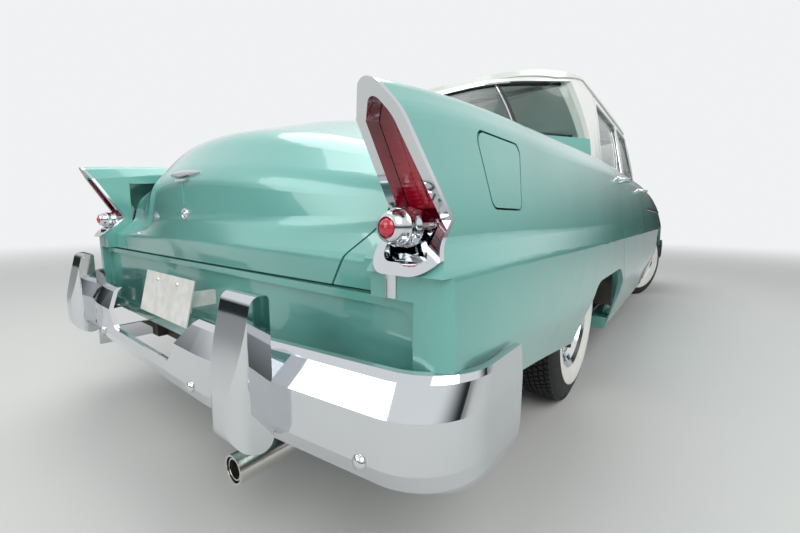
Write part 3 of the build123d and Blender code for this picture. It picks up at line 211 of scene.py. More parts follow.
def metal(name, colour, rough, haze=0.05, grain=(1, 1, 1), scale=30.0, dents=0.0004):
    """Plated or bare metal: smears in its polish and shallow dents."""
    made, g = material(name)
    smear = g.noise(scale, 4.0, grain)
    dulled = tuple(c * 0.93 for c in colour[:3]) + (1.0,)
    g.surface({
        "Base Color": g.mix(g.step(smear, 0.4, 0.75), colour, dulled),
        "Metallic": 1.0,
        "Roughness": rough + smear * haze,
        "Normal": g.bump(g.noise(6.0, detail=1.0), dents, 0.3),
    })
    return made


def moulded(name, light, deep, rough, scale, depth, coat=0.0):
    """Rubber, plastic, vinyl and rough castings: a mottle with a fine grain."""
    made, g = material(name)
    mottle = g.noise(scale, detail=5.0)
    g.surface({
        "Base Color": g.mix(g.step(mottle, 0.3, 0.7), light, deep),
        "Roughness": rough + mottle * 0.12,
        "Coat Weight": coat,
        "Normal": g.bump(mottle, depth, 0.6),
    })
    return made


def pane(name, tint, film_tint):
    """Window glass with a thin uneven film of dust."""
    made, g = material(name)
    film = g.noise(5.0)
    g.surface({
        "Base Color": g.mix(film * 0.3, tint, film_tint),
        "Roughness": 0.02 + film * 0.02,
        "Transmission Weight": 1.0,
        "IOR": 1.08,
        "Alpha": 0.45,
        "Coat Weight": 1.0,
        "Coat Roughness": 0.02,
    })
    return made


def lens_red():
    """Tail lamp plastic: fine flutes, paler below and deep red towards the tip, with a faint
    painted glow that makes the unlit lens shine red.
    """
    made, g = material("lamp_red_lens")
    height = g.axes()[2]
    depth = g.step(height, 0.80, 0.96)
    flute = g.waves(height, per_metre=900.0)
    g.surface({
        "Base Color": g.mix(depth, rgb(178, 12, 48), rgb(104, 6, 30)),
        "Roughness": 0.12 + flute * 0.05,
        "Coat Weight": 1.0,
        "Coat Roughness": 0.03,
        # Painted glow: a faint red emission, though no lamp is lit behind the lens
        "Emission Color": rgb(120, 4, 24),
        "Emission Strength": 0.12,
        "Normal": g.bump(flute, 0.0006, 0.5),
    })
    return made


def headlamp_lens():
    """Sealed beam: a bright bowl seen through pressed upright flutes."""
    made, g = material("headlamp_lens")
    across, height = g.axes()[1:]
    flutes, bars = g.waves(across, per_metre=700.0), g.waves(height, per_metre=260.0)
    g.surface({
        "Base Color": g.mix(flutes * 0.5 + bars * 0.3, rgb(228, 234, 236), rgb(150, 160, 164)),
        "Metallic": 0.55,
        "Roughness": 0.14 + bars * 0.1,
        "Coat Weight": 1.0,
        "Coat Roughness": 0.03,
        "Normal": g.bump(flutes + bars * 0.6, 0.0012, 0.7),
    })
    return made


def tyre_rubber(name, centre, axis):
    """Black tread and shoulders with the white band on the outer side wall."""
    made, g = material(name)
    away = g.add("ShaderNodeVectorMath", {"operation": "SUBTRACT"}, {0: g.place(), 1: centre})
    along = g.add("ShaderNodeVectorMath", {"operation": "DOT_PRODUCT"}, {0: away, 1: axis}, 1)
    full = g.add("ShaderNodeVectorMath", {"operation": "LENGTH"}, {0: away}, 1)
    radius = (full * full - along * along) ** 0.5
    inside_edge, outside_edge = g.step(radius, 0.205, 0.207), 1 - g.step(radius, 0.281, 0.283)
    band = inside_edge * outside_edge * g.step(along, 0.02, 0.03)
    mottle = g.noise(40.0, detail=5.0)
    soil = g.step(g.noise(9.0, detail=4.0), 0.45, 0.75)
    rings = g.maths("SINE", radius * 1400.0)
    black = g.mix(soil * 0.5, rgb(30, 30, 31), rgb(58, 56, 52))
    white = g.mix(soil * 0.35 + mottle * 0.1, rgb(232, 231, 224), rgb(200, 195, 182))
    g.surface({
        "Base Color": g.mix(band, black, white),
        "Roughness": 0.55 + mottle * 0.2,
        "Normal": g.bump(rings * (1 - band) + mottle, 0.0006, 0.5),
    })
    return made


AQUA, AQUA_DEEP, ROOF_WHITE = rgb(112, 178, 168), rgb(88, 154, 144), rgb(236, 236, 230)
MATERIALS = {
    "body_paint": enamel("sea_green_enamel", AQUA, AQUA_DEEP, 0.12),
    "roof_paint": enamel("white_enamel", ROOF_WHITE, rgb(226, 226, 219)),
    "door_paint": door_paint(AQUA, AQUA_DEEP, ROOF_WHITE),
    "chrome": metal("bright_chrome", rgb(214, 217, 220), 0.035, 0.03, scale=4.0, dents=0.0008),
    "stainless": metal("tail_pipe_steel", rgb(205, 203, 198), 0.14, 0.14, (1, 6, 6), 40.0),
    "glass": pane("window_glass", rgb(214, 232, 226), rgb(190, 215, 205)),
    "lamp_red": lens_red(),
    "chassis_black": moulded("chassis_black", rgb(34, 33, 32), rgb(62, 58, 52),
                             rough=0.6, scale=18.0, depth=0.002),
    "cast": moulded("cast_metal", rgb(78, 77, 75), rgb(54, 52, 50),
                    rough=0.55, scale=60.0, depth=0.001),
    "wheel_steel": metal("wheel_cover_chrome", rgb(222, 224, 226), 0.07, 0.08),
    "seat_vinyl": moulded("seat_vinyl", rgb(150, 186, 176), rgb(134, 170, 160),
                          rough=0.42, scale=260.0, depth=0.0006),
    "dash": enamel("dash_enamel", AQUA_DEEP, rgb(84, 150, 134)),
    "plate_white": moulded("blank_plate_white", rgb(226, 226, 220), rgb(210, 209, 202),
                           rough=0.4, scale=30.0, depth=0.0005, coat=0.4),
    "plastic": moulded("ivory_rim", rgb(226, 222, 204), rgb(214, 208, 188),
                       rough=0.3, scale=40.0, depth=0.0002, coat=0.5),
}
DARK_RUBBER = moulded("seal_rubber", rgb(24, 24, 25), rgb(36, 35, 34),
                      rough=0.5, scale=120.0, depth=0.0004)

# A piece's finish: the record's slot and the material that shows
CHROME = ("chrome", MATERIALS["chrome"])
PAINT = ("body_paint", MATERIALS["body_paint"])
RED = ("lamp_red", MATERIALS["lamp_red"])
SEAL = ("chassis_black", DARK_RUBBER)
COVER = ("wheel_steel", MATERIALS["wheel_steel"])
VINYL = ("seat_vinyl", MATERIALS["seat_vinyl"])
PLINTH = ("seat_vinyl", DARK_RUBBER)


def wheel_pose(end, side):
    """Centre and outward axle line of a road wheel as it stands."""
    if end == "rear":
        return Vector((REAR_AXLE, side * HALF_TRACK, TYRE_RADIUS)), Vector((0, side, 0))
    turn = Matrix.Rotation(REST_STEER, 3, "Z")
    pin = Vector((FRONT_AXLE, side * KINGPIN_Y, TYRE_RADIUS))
    reach = turn @ Vector((0, side * (HALF_TRACK - KINGPIN_Y), 0))
    return pin + reach, turn @ Vector((0, side, 0))


# The solids that stay get their finishes
for part in frame["record"]["subparts"]:
    node = NODES[part["node"]]
    node.data.materials.clear()
    if part["material_slot"] == "rubber_tyre":
        end, hand = part["node"].split("_")[1:]
        centre, axis = wheel_pose(end, 1 if hand == "left" else -1)
        node.data.materials.append(tyre_rubber(part["node"] + "_rubber", centre, axis))
    elif part["node"] == "headlamp_glass":
        node.data.materials.append(headlamp_lens())
    else:
        node.data.materials.append(MATERIALS[part["material_slot"]])


def finish_piece(name, mesh, body, finish, sharp=40):
    """Turns a mesh into a shaded piece that moves with a body, sharp past an angle."""
    slot, made = finish
    shape = bpy.data.objects.new(name, mesh)
    bpy.context.scene.collection.objects.link(shape)
    mesh.materials.clear()
    mesh.materials.append(made)
    mesh.shade_smooth()
    if sharp:
        mesh.set_sharp_from_angle(angle=math.radians(sharp))
    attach(shape, body)
    return shape


def close_up(grid):
    """Merges a grid's doubles and points its faces outwards."""
    bmesh.ops.remove_doubles(grid, verts=grid.verts, dist=1e-6)
    bmesh.ops.recalc_face_normals(grid, faces=grid.faces)
    mesh = bpy.data.meshes.new("made")
    grid.to_mesh(mesh)
    grid.free()
    return mesh


def skin(rings, closed=False, caps=True):
    """A bmesh of faces between rings of points, with ends unless it closes on itself."""
    grid = bmesh.new()
    rows = [[grid.verts.new(p) for p in ring] for ring in rings]
    count = len(rows[0])
    for i in range(len(rows) if closed else len(rows) - 1):
        first, second = rows[i], rows[(i + 1) % len(rows)]
        for j in range(count):
            k = (j + 1) % count
            grid.faces.new((first[j], first[k], second[k], second[j]))
    if caps and not closed:
        grid.faces.new(rows[0][::-1])
        grid.faces.new(rows[-1])
    return grid


def strip_rings(points, section, up, closed):
    """Rings of a section, given as across and up offsets, carried along points."""
    points = [Vector(p) for p in points]
    rings = []
    for i, here in enumerate(points):
        ahead = points[(i + 1) % len(points)] if closed or i < len(points) - 1 else here
        behind = points[i - 1] if closed or i else here
        run = (ahead - behind).normalized()
        across = run.cross(up).normalized()
        rise = across.cross(run).normalized()
        rings.append([here + across * a + rise * b for a, b in section])
    return rings


def round_section(radius, sides=12, flat=1.0):
    """A circle as a section, squeezed upwards by flat."""
    angles = [2 * math.pi * k / sides for k in range(sides)]
    return [(radius * math.cos(a), flat * radius * math.sin(a)) for a in angles]


def turned_rings(profile, centre, axis, segments):
    """Rings of a profile of (radius, distance) pairs turned about an axis."""
    axis = Vector(axis).normalized()
    side = axis.orthogonal().normalized()
    other = axis.cross(side)
    angles = [2 * math.pi * k / segments for k in range(segments)]
    return [[Vector(centre) + axis * along + (side * math.cos(a) + other * math.sin(a)) * radius
             for a in angles] for radius, along in profile]


def caster(name):
    """Finds where a straight line first meets a CAD node."""
    mesh = NODES[name].data
    tree = BVHTree.FromPolygons([v.co for v in mesh.vertices],
                                [p.vertices for p in mesh.polygons])

    def hit(start, way):
        return tree.ray_cast(Vector(start), Vector(way).normalized())[0]

    return hit


def from_behind(hit, y, z):
    """Where a line from behind the car meets a node."""
    return hit((-OUTSIDE, y, z), AHEAD)


def span(start, stop, step):
    """Even steps given in whole millimetres, as metres."""
    return [k / 1000 for k in range(start, stop, step)]


def skinned(name, rings, body, finish, closed=False):
    """A piece whose skin runs through rings of points."""
    return finish_piece(name, close_up(skin(rings, closed)), body, finish)


def swept(name, points, section, body, finish, closed=False, up=UP):
    """A section carried along a line of points."""
    return skinned(name, strip_rings(points, section, up, closed), body, finish, closed)


def lathed(name, profile, centre, axis, body, finish, segments=32):
    """A turned piece; a profile that starts and ends at radius 0 is closed."""
    rings = turned_rings([(max(r, 1e-5), d) for r, d in profile], centre, axis, segments)
    grid = skin(rings, caps=False)
    bmesh.ops.remove_doubles(grid, verts=grid.verts, dist=3e-5)
    return finish_piece(name, close_up(grid), body, finish, sharp=50)


def joined(name, shapes):
    """Joins finished shapes of one body and finish into one piece."""
    with bpy.context.temp_override(active_object=shapes[0], selected_editable_objects=shapes):
        bpy.ops.object.join()
    shapes[0].name = name
    return shapes[0]


# Trunk lid: blank wing ornament over a small tab, a pressed crease and the lock
WING_HALF, WING_Z, WING_SUNK = 0.097, 0.902, 0.004
WING_TIP_HIGH, WING_MORE_HIGH = 0.0025, 0.0095
WING_TIP_PROUD, WING_MORE_PROUD = 0.003, 0.015
WING_TAB_Z, LOCK_Z = 0.884, 0.787
LOCK = ((0, -0.004), (0.017, -0.004), (0.017, 0.003), (0.014, 0.006), (0.010, 0.005),
        (0.009, 0.0035), (0.006, 0.0035), (0.004, 0.007), (0, 0.0075))
lid_hit = caster("trunk_lid")


def wing_ring(share):
    """Half-round section of the wing at a share of its half width, thin at the tips."""
    y = share * WING_HALF
    back = from_behind(lid_hit, y, WING_Z).x + WING_SUNK
    high = WING_TIP_HIGH + WING_MORE_HIGH * (1 - abs(share) ** 1.8)
    proud = WING_TIP_PROUD + WING_MORE_PROUD * (1 - abs(share) ** 2.5)
    angles = [math.pi * (j / 8 - 0.5) for j in range(9)]
    return [Vector((back - (proud + WING_SUNK) * max(0, math.cos(a)), y,
                    WING_Z + high * math.sin(a))) for a in angles]


wing = [wing_ring(math.sin(math.pi / 2 * (k / 16 - 1))) for k in range(33)]
skinned("lid_wing", wing, "trunk_lid", CHROME)
tab = [from_behind(lid_hit, y, WING_TAB_Z) + Vector((-0.004, 0, 0)) for y in span(-34, 35, 4)]
swept("lid_wing_tab", tab, round_section(0.007, 10, 0.75), "trunk_lid", CHROME)
crease = [from_behind(lid_hit, 0, z) for z in span(874, 808, -6)]
swept("lid_crease", crease, round_section(0.003, 8, 0.7), "trunk_lid", PAINT,
      up=Vector((0, 1, 0)))
lathed("lid_lock", LOCK, from_behind(lid_hit, 0, LOCK_Z), ASTERN, "trunk_lid", CHROME)

# Tail lamps: stepped pod with its small red reflector, the bright bowl round its foot, the
# ridge on the lens and the tab over the body edge
POD_PLACE = (-2.345, 0.797, 0.764)
POD_PROFILE = ((0, 0), (0.031, 0), (0.031, 0.034), (0.0345, 0.037), (0.0345, 0.043),
               (0.031, 0.046), (0.030, 0.060), (0.0315, 0.062), (0.0315, 0.066),
               (0.029, 0.068), (0.028, 0.078), (0.022, 0.090), (0.0175, 0.092),
               (0.0165, 0.088), (0, 0.088))
REFLECTOR = ((0, 0.086), (0.0160, 0.086), (0.0158, 0.091), (0.011, 0.096), (0.005, 0.098),
             (0, 0.0985))
BOWL_TOP = ((-2.330, 0.799), (-2.346, 0.772), (-2.366, 0.744), (-2.392, 0.722),
            (-2.417, 0.7105))
BOWL_SECTION = BOWL_TOP + tuple((x + 0.003, z - 0.004) for x, z in BOWL_TOP[::-1])
BOWL_STATIONS = (0.768, 0.784, 0.801, 0.818, 0.835, 0.852, 0.868)
BOWL_MIDDLE, BOWL_HOLLOW, BOWL_HALF_SQUARED = 0.818, 0.010, 0.0025
RIDGE_TIP_Y, RIDGE_TIP_Z, RIDGE_LEAN = 0.808, 0.94, 0.012
TAB_SECTION = ((-0.011, -0.0015), (0.011, -0.0015), (0.011, 0.001), (0.008, 0.0025),
               (-0.008, 0.0025), (-0.011, 0.001))
lens_hit = caster("tail_lamp_lenses")
for hand, side in SIDES:
    quarter_hit = caster("quarter_" + hand)
    place = (POD_PLACE[0], side * POD_PLACE[1], POD_PLACE[2])
    lathed("lamp_pod_" + hand, POD_PROFILE, place, ASTERN, "body", CHROME, 48)
    lathed("lamp_reflector_" + hand, REFLECTOR, place, ASTERN, "body", RED)
    bowl = [[Vector((x + BOWL_HOLLOW * (1 - (y - BOWL_MIDDLE) ** 2 / BOWL_HALF_SQUARED),
                     side * y, z)) for x, z in BOWL_SECTION] for y in BOWL_STATIONS]
    skinned("lamp_bowl_" + hand, bowl, "body", CHROME)
    ridge = [from_behind(lens_hit, side * (RIDGE_TIP_Y + RIDGE_LEAN * (RIDGE_TIP_Z - z)), z)
             for z in span(806, 944, 8)]
    swept("lamp_ridge_" + hand, [p for p in ridge if p], round_section(0.006, 10, 1.3),
          "body", RED, up=Vector((0, 1, 0)))
    tab = [from_behind(quarter_hit, side * POD_PLACE[1], z) for z in span(690, 640, -5)]
    swept("lamp_tab_" + hand, [p + Vector((-0.001, 0, 0)) for p in tab if p], TAB_SECTION,
          "body", CHROME, up=Vector(ASTERN))

# Round-headed bolts: node, place across, height, which way it faces, radius
BOLTS = (("number_plate", 0.070, 0.592, 1, 0.006), ("rear_bumper", 0.800, 0.405, 1, 0.013),
         ("rear_bumper", 0.330, 0.405, 1, 0.013), ("front_bumper", 0.800, 0.405, -1, 0.013),
         ("front_bumper", 0.330, 0.405, -1, 0.013))
for number, (node, y, z, way, radius) in enumerate(BOLTS):
    hit = caster(node)
    head = [(0, -0.003), (radius, -0.003), (radius, 0.001), (radius * 0.8, radius * 0.4),
            (radius * 0.4, radius * 0.55), (0, radius * 0.6)]
    for hand, side in SIDES:
        seat = hit((-OUTSIDE * way, side * y, z), (way, 0, 0))
        if seat:
            lathed(f"bolt_{number}_{hand}", head, seat, (-way, 0, 0), "body", CHROME, 20)

# Wrapped windows: name, node, upright axis that the lines aim at, which way it faces, and
# its lowest and highest levels
WRAPPED = (("rear_window", "rear_glass", -0.95, -1, 1.150, 1.400),
           ("windshield", "windshield", 0.45, 1, 1.112, 1.400))
LEVELS, ACROSS_STEPS = 10, 40
TRIM_INWARD, TRIM_PROUD, TRIM_RAISED = 0.004, 0.009, 0.002


def wrapped_border(node, pivot, way, low, high):
    """The outer edge of a wrapped window, found by lines aimed at an upright axis."""
    hit = caster(node)

    def point(angle, z):
        out = Vector((way * math.cos(angle), math.sin(angle), 0))
        return hit(Vector((pivot, 0, z)) + out * OUTSIDE, -out)

    def reach(z, side):
        """How far round the glass goes, in thirds of a degree."""
        best = 0.0
        for k in range(1, 360):
            angle = side * math.radians(k / 3)
            if point(angle, z):
                best = angle
        return best

    def across(z):
        first, last = reach(z, 1), reach(z, -1)
        return [point(first + (last - first) * k / ACROSS_STEPS, z)
                for k in range(1, ACROSS_STEPS)]

    levels = [low + (high - low) * k / LEVELS for k in range(LEVELS + 1)]
    left, right = [[point(reach(z, side), z) for z in levels] for side in (1, -1)]
    loop = left + across(high) + right[::-1] + across(low)[::-1]
    return [p for p in loop if p]


for name, node, pivot, way, low, high in WRAPPED:
    border = wrapped_border(node, pivot, way, low, high)
    middle = sum(border, Vector()) / len(border)
    outward = Vector((way, 0, 0.4))
    swept(name + "_rubber", border, round_section(0.011, 10), "body", SEAL, True, outward)
    inner = [p + (middle - p).normalized() * TRIM_INWARD
             + Vector((way * TRIM_PROUD, 0, TRIM_RAISED)) for p in border]
    swept(name + "_bright_trim", inner, round_section(0.0045, 8), "body", CHROME, True,
          outward)

# Door windows: bright frames on the glass plane, which leans in with height
WINDOWS = {
    "front": ((0.020, 1.056), (0.020, 1.384), (0.452, 1.384), (0.586, 1.056)),
    "rear": ((-0.051, 1.056), (-0.760, 1.056), (-0.760, 1.176), (-0.670, 1.384),
             (-0.051, 1.384)),
}
WINDOW_CORNER = 0.035
GLASS_FOOT_Y, GLASS_LEAN, GLASS_FOOT_Z = 0.7975, 0.2164, 1.036

# Pull handles with a push button, and the spear of trim on the front doors and fenders
HANDLES, HANDLE_Z = {"front": 0.075, "rear": -0.775}, 0.968
HANDLE_LINE = ((-0.070, -0.006), (-0.068, 0.016), (-0.060, 0.027), (-0.030, 0.032),
               (0.030, 0.032), (0.066, 0.028), (0.074, 0.018), (0.076, -0.006))
BUTTON = ((0, -0.004), (0.012, -0.004), (0.012, 0.008), (0.009, 0.013), (0, 0.014))
BUTTON_BEHIND = 0.088
SPEAR_Z, SPEAR_HALF = 0.858, 0.011
SPEAR_SECTION = [(share * SPEAR_HALF, proud) for share, proud in (
    (-1, 0.0006), (-0.7, 0.0035), (0, 0.0048), (0.7, 0.0035), (1, 0.0006), (0.8, -0.002),
    (-0.8, -0.002))]
SPEAR_RUNS = (("door", "door_front_", "front_door_{}", 0.437, 0.918),
              ("fender", "fender_", "body", 0.938, 2.44))


def rounded_loop(corners, radius, steps=6):
    """A closed outline with its corners rounded by short curves."""
    loop = []
    for k, corner in enumerate(corners):
        here = Vector(corner)
        before, after = Vector(corners[k - 1]), Vector(corners[(k + 1) % len(corners)])
        start = here + (before - here).normalized() * radius
        end = here + (after - here).normalized() * radius
        loop += [(1 - t) ** 2 * start + 2 * t * (1 - t) * here + t * t * end
                 for t in (j / steps for j in range(steps + 1))]
    return loop


for hand, side in SIDES:
    out = Vector((0, side, 0))
    for end in ("front", "rear"):
        door, body = caster(f"door_{end}_{hand}"), f"{end}_door_{hand}"
        edge = [Vector((p.x, side * (GLASS_FOOT_Y - GLASS_LEAN * (p.y - GLASS_FOOT_Z)), p.y))
                for p in rounded_loop(WINDOWS[end], WINDOW_CORNER)]
        swept(f"window_trim_{end}_{hand}", edge, round_section(0.0055, 8), body, CHROME, True,
              Vector((0, side, 0.2)))
        seat = door((HANDLES[end], side * BESIDE, HANDLE_Z), -out)
        pull = [seat + Vector((dx, 0, 0)) + out * dy for dx, dy in HANDLE_LINE]
        swept(f"handle_{end}_{hand}", pull, round_section(0.010, 12, 0.75), body, CHROME)
        lathed(f"handle_button_{end}_{hand}", BUTTON, seat + Vector((-BUTTON_BEHIND, 0, 0)),
               out, body, CHROME, 20)
    for name, node, body, low, high in SPEAR_RUNS:
        hit = caster(node + hand)
        line = [hit((low + (high - low) * k / 30, side * BESIDE, SPEAR_Z), -out)
                for k in range(31)]
        swept(f"spear_{name}_{hand}", [p for p in line if p], SPEAR_SECTION,
              body.format(hand), CHROME, up=out)


def lug_tree(rows=6):
    """Rows of tread blocks round a circle, each row turned by half a pitch."""
    tree = bpy.data.node_groups.new("tread_blocks", "GeometryNodeTree")
    tree.interface.new_socket("Geometry", in_out="OUTPUT", socket_type="NodeSocketGeometry")
    for name, kind, value in (
            ("Radius", "NodeSocketFloat", 0.3495), ("Count", "NodeSocketInt", 84),
            ("Row Pitch", "NodeSocketFloat", 0.0215),
            ("Block Height", "NodeSocketFloat", 0.0105),
            ("Block Width", "NodeSocketFloat", 0.0165),
            ("Block Length", "NodeSocketFloat", 0.0195),
            ("Rubber", "NodeSocketMaterial", None)):
        socket = tree.interface.new_socket(name, in_out="INPUT", socket_type=kind)
        if value is not None:
            socket.default_value = value

    g = Graph(tree)
    given = g.add("NodeGroupInput")
    size = g.add("ShaderNodeCombineXYZ", None, {"X": given.out("Block Height"),
                                                "Y": given.out("Block Length"),
                                                "Z": given.out("Block Width")})
    block = g.add("GeometryNodeMeshCube", None, {"Size": size})
    tread = g.add("GeometryNodeJoinGeometry")
    for row in range(rows):
        ring = g.add("GeometryNodeMeshCircle", None,
                     {"Vertices": given.out("Count"), "Radius": given.out("Radius")})
        pitch = g.maths("DIVIDE", 2 * math.pi, given.out("Count"))
        turn = g.add("GeometryNodeInputIndex") * pitch
        spin = g.add("ShaderNodeCombineXYZ", None, {"Z": turn})
        blocks = g.add("GeometryNodeInstanceOnPoints", None,
                       {"Points": ring, "Instance": block, "Rotation": spin})
        rise = given.out("Row Pitch") * (row - (rows - 1) / 2)
        shift = g.add("ShaderNodeCombineXYZ", None, {"Z": rise})
        half = g.add("ShaderNodeCombineXYZ", None, {"Z": pitch * (0.5 * (row % 2))})
        moved = g.add("GeometryNodeTransform", None,
                      {"Geometry": blocks, "Translation": shift, "Rotation": half})
        tree.links.new(moved.socket, tread.socket.node.inputs[0])
    real = g.add("GeometryNodeRealizeInstances", None, {"Geometry": tread})
    done = g.add("GeometryNodeSetMaterial", None,
                 {"Geometry": real, "Material": given.out("Rubber")})
    g.add("NodeGroupOutput", None, {0: done})
    return tree


def plain_mesh(tree, inputs):
    """The result of a Geometry Nodes tree as a mesh of its own."""
    carrier = bpy.data.objects.new("carrier", bpy.data.meshes.new("carrier"))
    bpy.context.scene.collection.objects.link(carrier)
    modifier = carrier.modifiers.new("blocks", "NODES")
    modifier.node_group = tree
    for item in tree.interface.items_tree:
        if item.name in inputs:
            modifier[item.identifier] = inputs[item.name]
    seen = carrier.evaluated_get(bpy.context.evaluated_depsgraph_get())
    mesh = bpy.data.meshes.new_from_object(seen)
    bpy.data.objects.remove(carrier)
    return mesh


# Tyres: sidewalls with a bead, rim guard and shoulder, grooved tread under the blocks
SIDEWALL = ((0.2005, 0.050), (0.2010, 0.062), (0.206, 0.0655), (0.214, 0.0665),
            (0.232, 0.0765), (0.252, 0.0830), (0.272, 0.0850), (0.281, 0.0845),
            (0.2825, 0.0835), (0.300, 0.0805), (0.320, 0.0745), (0.334, 0.0680),
            (0.342, 0.0620), (0.3455, 0.0560))
TYRE_PROFILE = [(r, -d) for r, d in SIDEWALL] + [(r, d) for r, d in SIDEWALL[::-1]]

# Wheel covers: rings (inner and outer radius, height) and fins that stand on the dish
COVER_RINGS = ((0.0, 0.034, 0.012), (0.060, 0.070, 0.004), (0.108, 0.116, 0.004),
               (0.160, 0.168, 0.004))
FINS, FIN_RADII, FIN_PROUD = 32, (0.120, 0.130, 0.142, 0.154), 0.0005
TRIM_SUNK = 0.003


def cover_trim(name, wheel, centre, axis):
    """Rings and fins of one wheel cover, seated on its dish and joined."""
    hit = caster(wheel)
    side_way = axis.orthogonal().normalized()

    def face(radius):
        """How far out the dish stands at a radius."""
        return (hit(centre + axis * 0.5 + side_way * radius, -axis) - centre).dot(axis)

    trim = []
    for r_in, r_out, proud in COVER_RINGS:
        mid = (r_in + r_out) / 2
        base = face(mid)
        ring = [(r_in, base - TRIM_SUNK), (r_in, base + proud * 0.5), (mid, base + proud),
                (r_out, base + proud * 0.4), (r_out, base - TRIM_SUNK),
                (r_in, base - TRIM_SUNK)]
        trim.append(lathed("ring", ring, centre, axis, wheel, COVER, 64))
    heights = [(r, face(r) + FIN_PROUD) for r in FIN_RADII]
    for k in range(FINS):
        way = Matrix.Rotation(2 * math.pi * k / FINS, 3, axis) @ side_way
        points = [centre + way * r + axis * height for r, height in heights]
        trim.append(swept("fin", points, round_section(0.0035, 6), wheel, COVER, up=axis))
    joined(name, trim)


treads = lug_tree()
for end in ("front", "rear"):
    for hand, side in SIDES:
        name, body = f"tyre_{end}_{hand}", f"wheel_{end}_{hand}"
        centre, axis = wheel_pose(end, side)
        rubber = ("rubber_tyre", NODES[name].data.materials[0])
        walls = skin(turned_rings(TYRE_PROFILE + TYRE_PROFILE[:1], centre, axis, 96),
                     caps=False)
        shown = finish_piece(f"tyre_form_{end}_{hand}", close_up(walls), body, rubber, 35)
        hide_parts(name)
        blocks = plain_mesh(treads, {"Rubber": rubber[1]})
        upright = axis.to_track_quat("Z", "Y").to_matrix().to_4x4()
        blocks.transform(Matrix.Translation(centre) @ upright)
        finish_piece(f"tread_{end}_{hand}", blocks, body, rubber, 30)
        cover_trim(f"cover_trim_{end}_{hand}", body, centre, axis)

# Pocket and filler cap behind the fuel door; its mouth follows the side's lean
POCKET = ((-2.252, 0.940), (-2.054, 0.940), (-2.086, 0.798), (-2.216, 0.798))
POCKET_MIDDLE = Vector((-2.152, 0.870))
POCKET_BACK, POCKET_WALL, POCKET_CORNER = 0.786, 0.002, 0.022
MOUTH_Y, MOUTH_Z, MOUTH_LEAN = 0.855, 0.798, 0.215
FUEL_CAP_PLACE = (-2.150, -POCKET_BACK, 0.868)
FUEL_CAP = ((0, 0), (0.026, 0), (0.026, 0.012), (0.034, 0.014), (0.034, 0.024),
            (0.030, 0.028), (0.012, 0.029), (0.011, 0.035), (0, 0.036))


def pocket_ring(wider, deep):
    """The pocket's outline at its mouth or back, made wider by a wall."""
    ring = []
    for corner in rounded_loop(POCKET, POCKET_CORNER):
        out = (corner - POCKET_MIDDLE).normalized() * wider
        mouth = MOUTH_Y - (corner.y - MOUTH_Z) * MOUTH_LEAN
        ring.append(Vector((corner.x + out.x, -(POCKET_BACK - wider if deep else mouth),
                            corner.y + out.y)))
    return ring


pocket = [pocket_ring(0, True), pocket_ring(0, False), pocket_ring(POCKET_WALL, False),
          pocket_ring(POCKET_WALL, True)]
skinned("fuel_pocket", pocket, "body", PAINT)
lathed("fuel_cap", FUEL_CAP, FUEL_CAP_PLACE, (0, -1, 0), "body", CHROME)

# Steering wheel boss
HUB, COLUMN_LEAN = Vector((0.430, 0.390, 0.950)), math.radians(28)
HORN_BUTTON = ((0, 0), (0.034, 0), (0.034, 0.018), (0.026, 0.026), (0, 0.029))
lean = Vector((-math.cos(COLUMN_LEAN), 0, math.sin(COLUMN_LEAN)))
lathed("horn_button", HORN_BUTTON, HUB + lean * 0.012, lean, "steering_wheel", CHROME)

# Wipers lying on the windshield
WIPER_IN, WIPER_LONG, WIPER_FOOT, WIPER_RISE = 0.12, 0.40, 1.135, 0.055
screen = caster("windshield")
for hand, side in SIDES:
    blade = [screen((OUTSIDE, side * (WIPER_IN + WIPER_LONG * k / 12),
                     WIPER_FOOT + WIPER_RISE * math.sin(k / 12 * 2.2)), ASTERN)
             for k in range(13)]
    blade = [p + Vector((0.010, 0, 0.003)) for p in blade if p]
    swept("wiper_blade_" + hand, blade, round_section(0.005, 8, 1.4), "body", SEAL)
    arm = [Vector((1.000, side * 0.30, 1.100)), Vector((0.985, side * 0.305, 1.125)),
           blade[6] + Vector((0.006, 0, 0.002))]
    swept("wiper_arm_" + hand, arm, round_section(0.0045, 8), "body", CHROME)

# The slim ornament along the hood, rising to its front and cut short there
ORNAMENT_FROM, ORNAMENT_LONG, ORNAMENT_SUNK = 1.95, 0.45, 0.004
bonnet = caster("hood")
rings = []
for k in range(25):
    share = k / 24
    seat = bonnet((ORNAMENT_FROM + ORNAMENT_LONG * k / 24, 0, OUTSIDE), (0, 0, -1))
    high = 0.006 + 0.036 * share ** 2 * (1 - share ** 12 * 0.9) + ORNAMENT_SUNK
    wide = 0.004 + 0.014 * share * (1 - share ** 8 * 0.8)
    angles = [2 * math.pi * j / 12 for j in range(12)]
    rings.append([seat + Vector((0, wide * math.sin(a),
                                 high * (0.5 + 0.5 * math.cos(a)) - ORNAMENT_SUNK))
                  for a in angles])
skinned("hood_ornament", rings, "hood", CHROME)

# Seats: a cushion and a leaning back on a dark plinth
CUSHION_TOP, BACK_LEAN, CHANNELS, CUSHION_CUTS = 0.610, -0.04, 14, 40
CROWN, SEAM_DEPTH, DRAWN_IN = 0.18, 0.05, 0.012


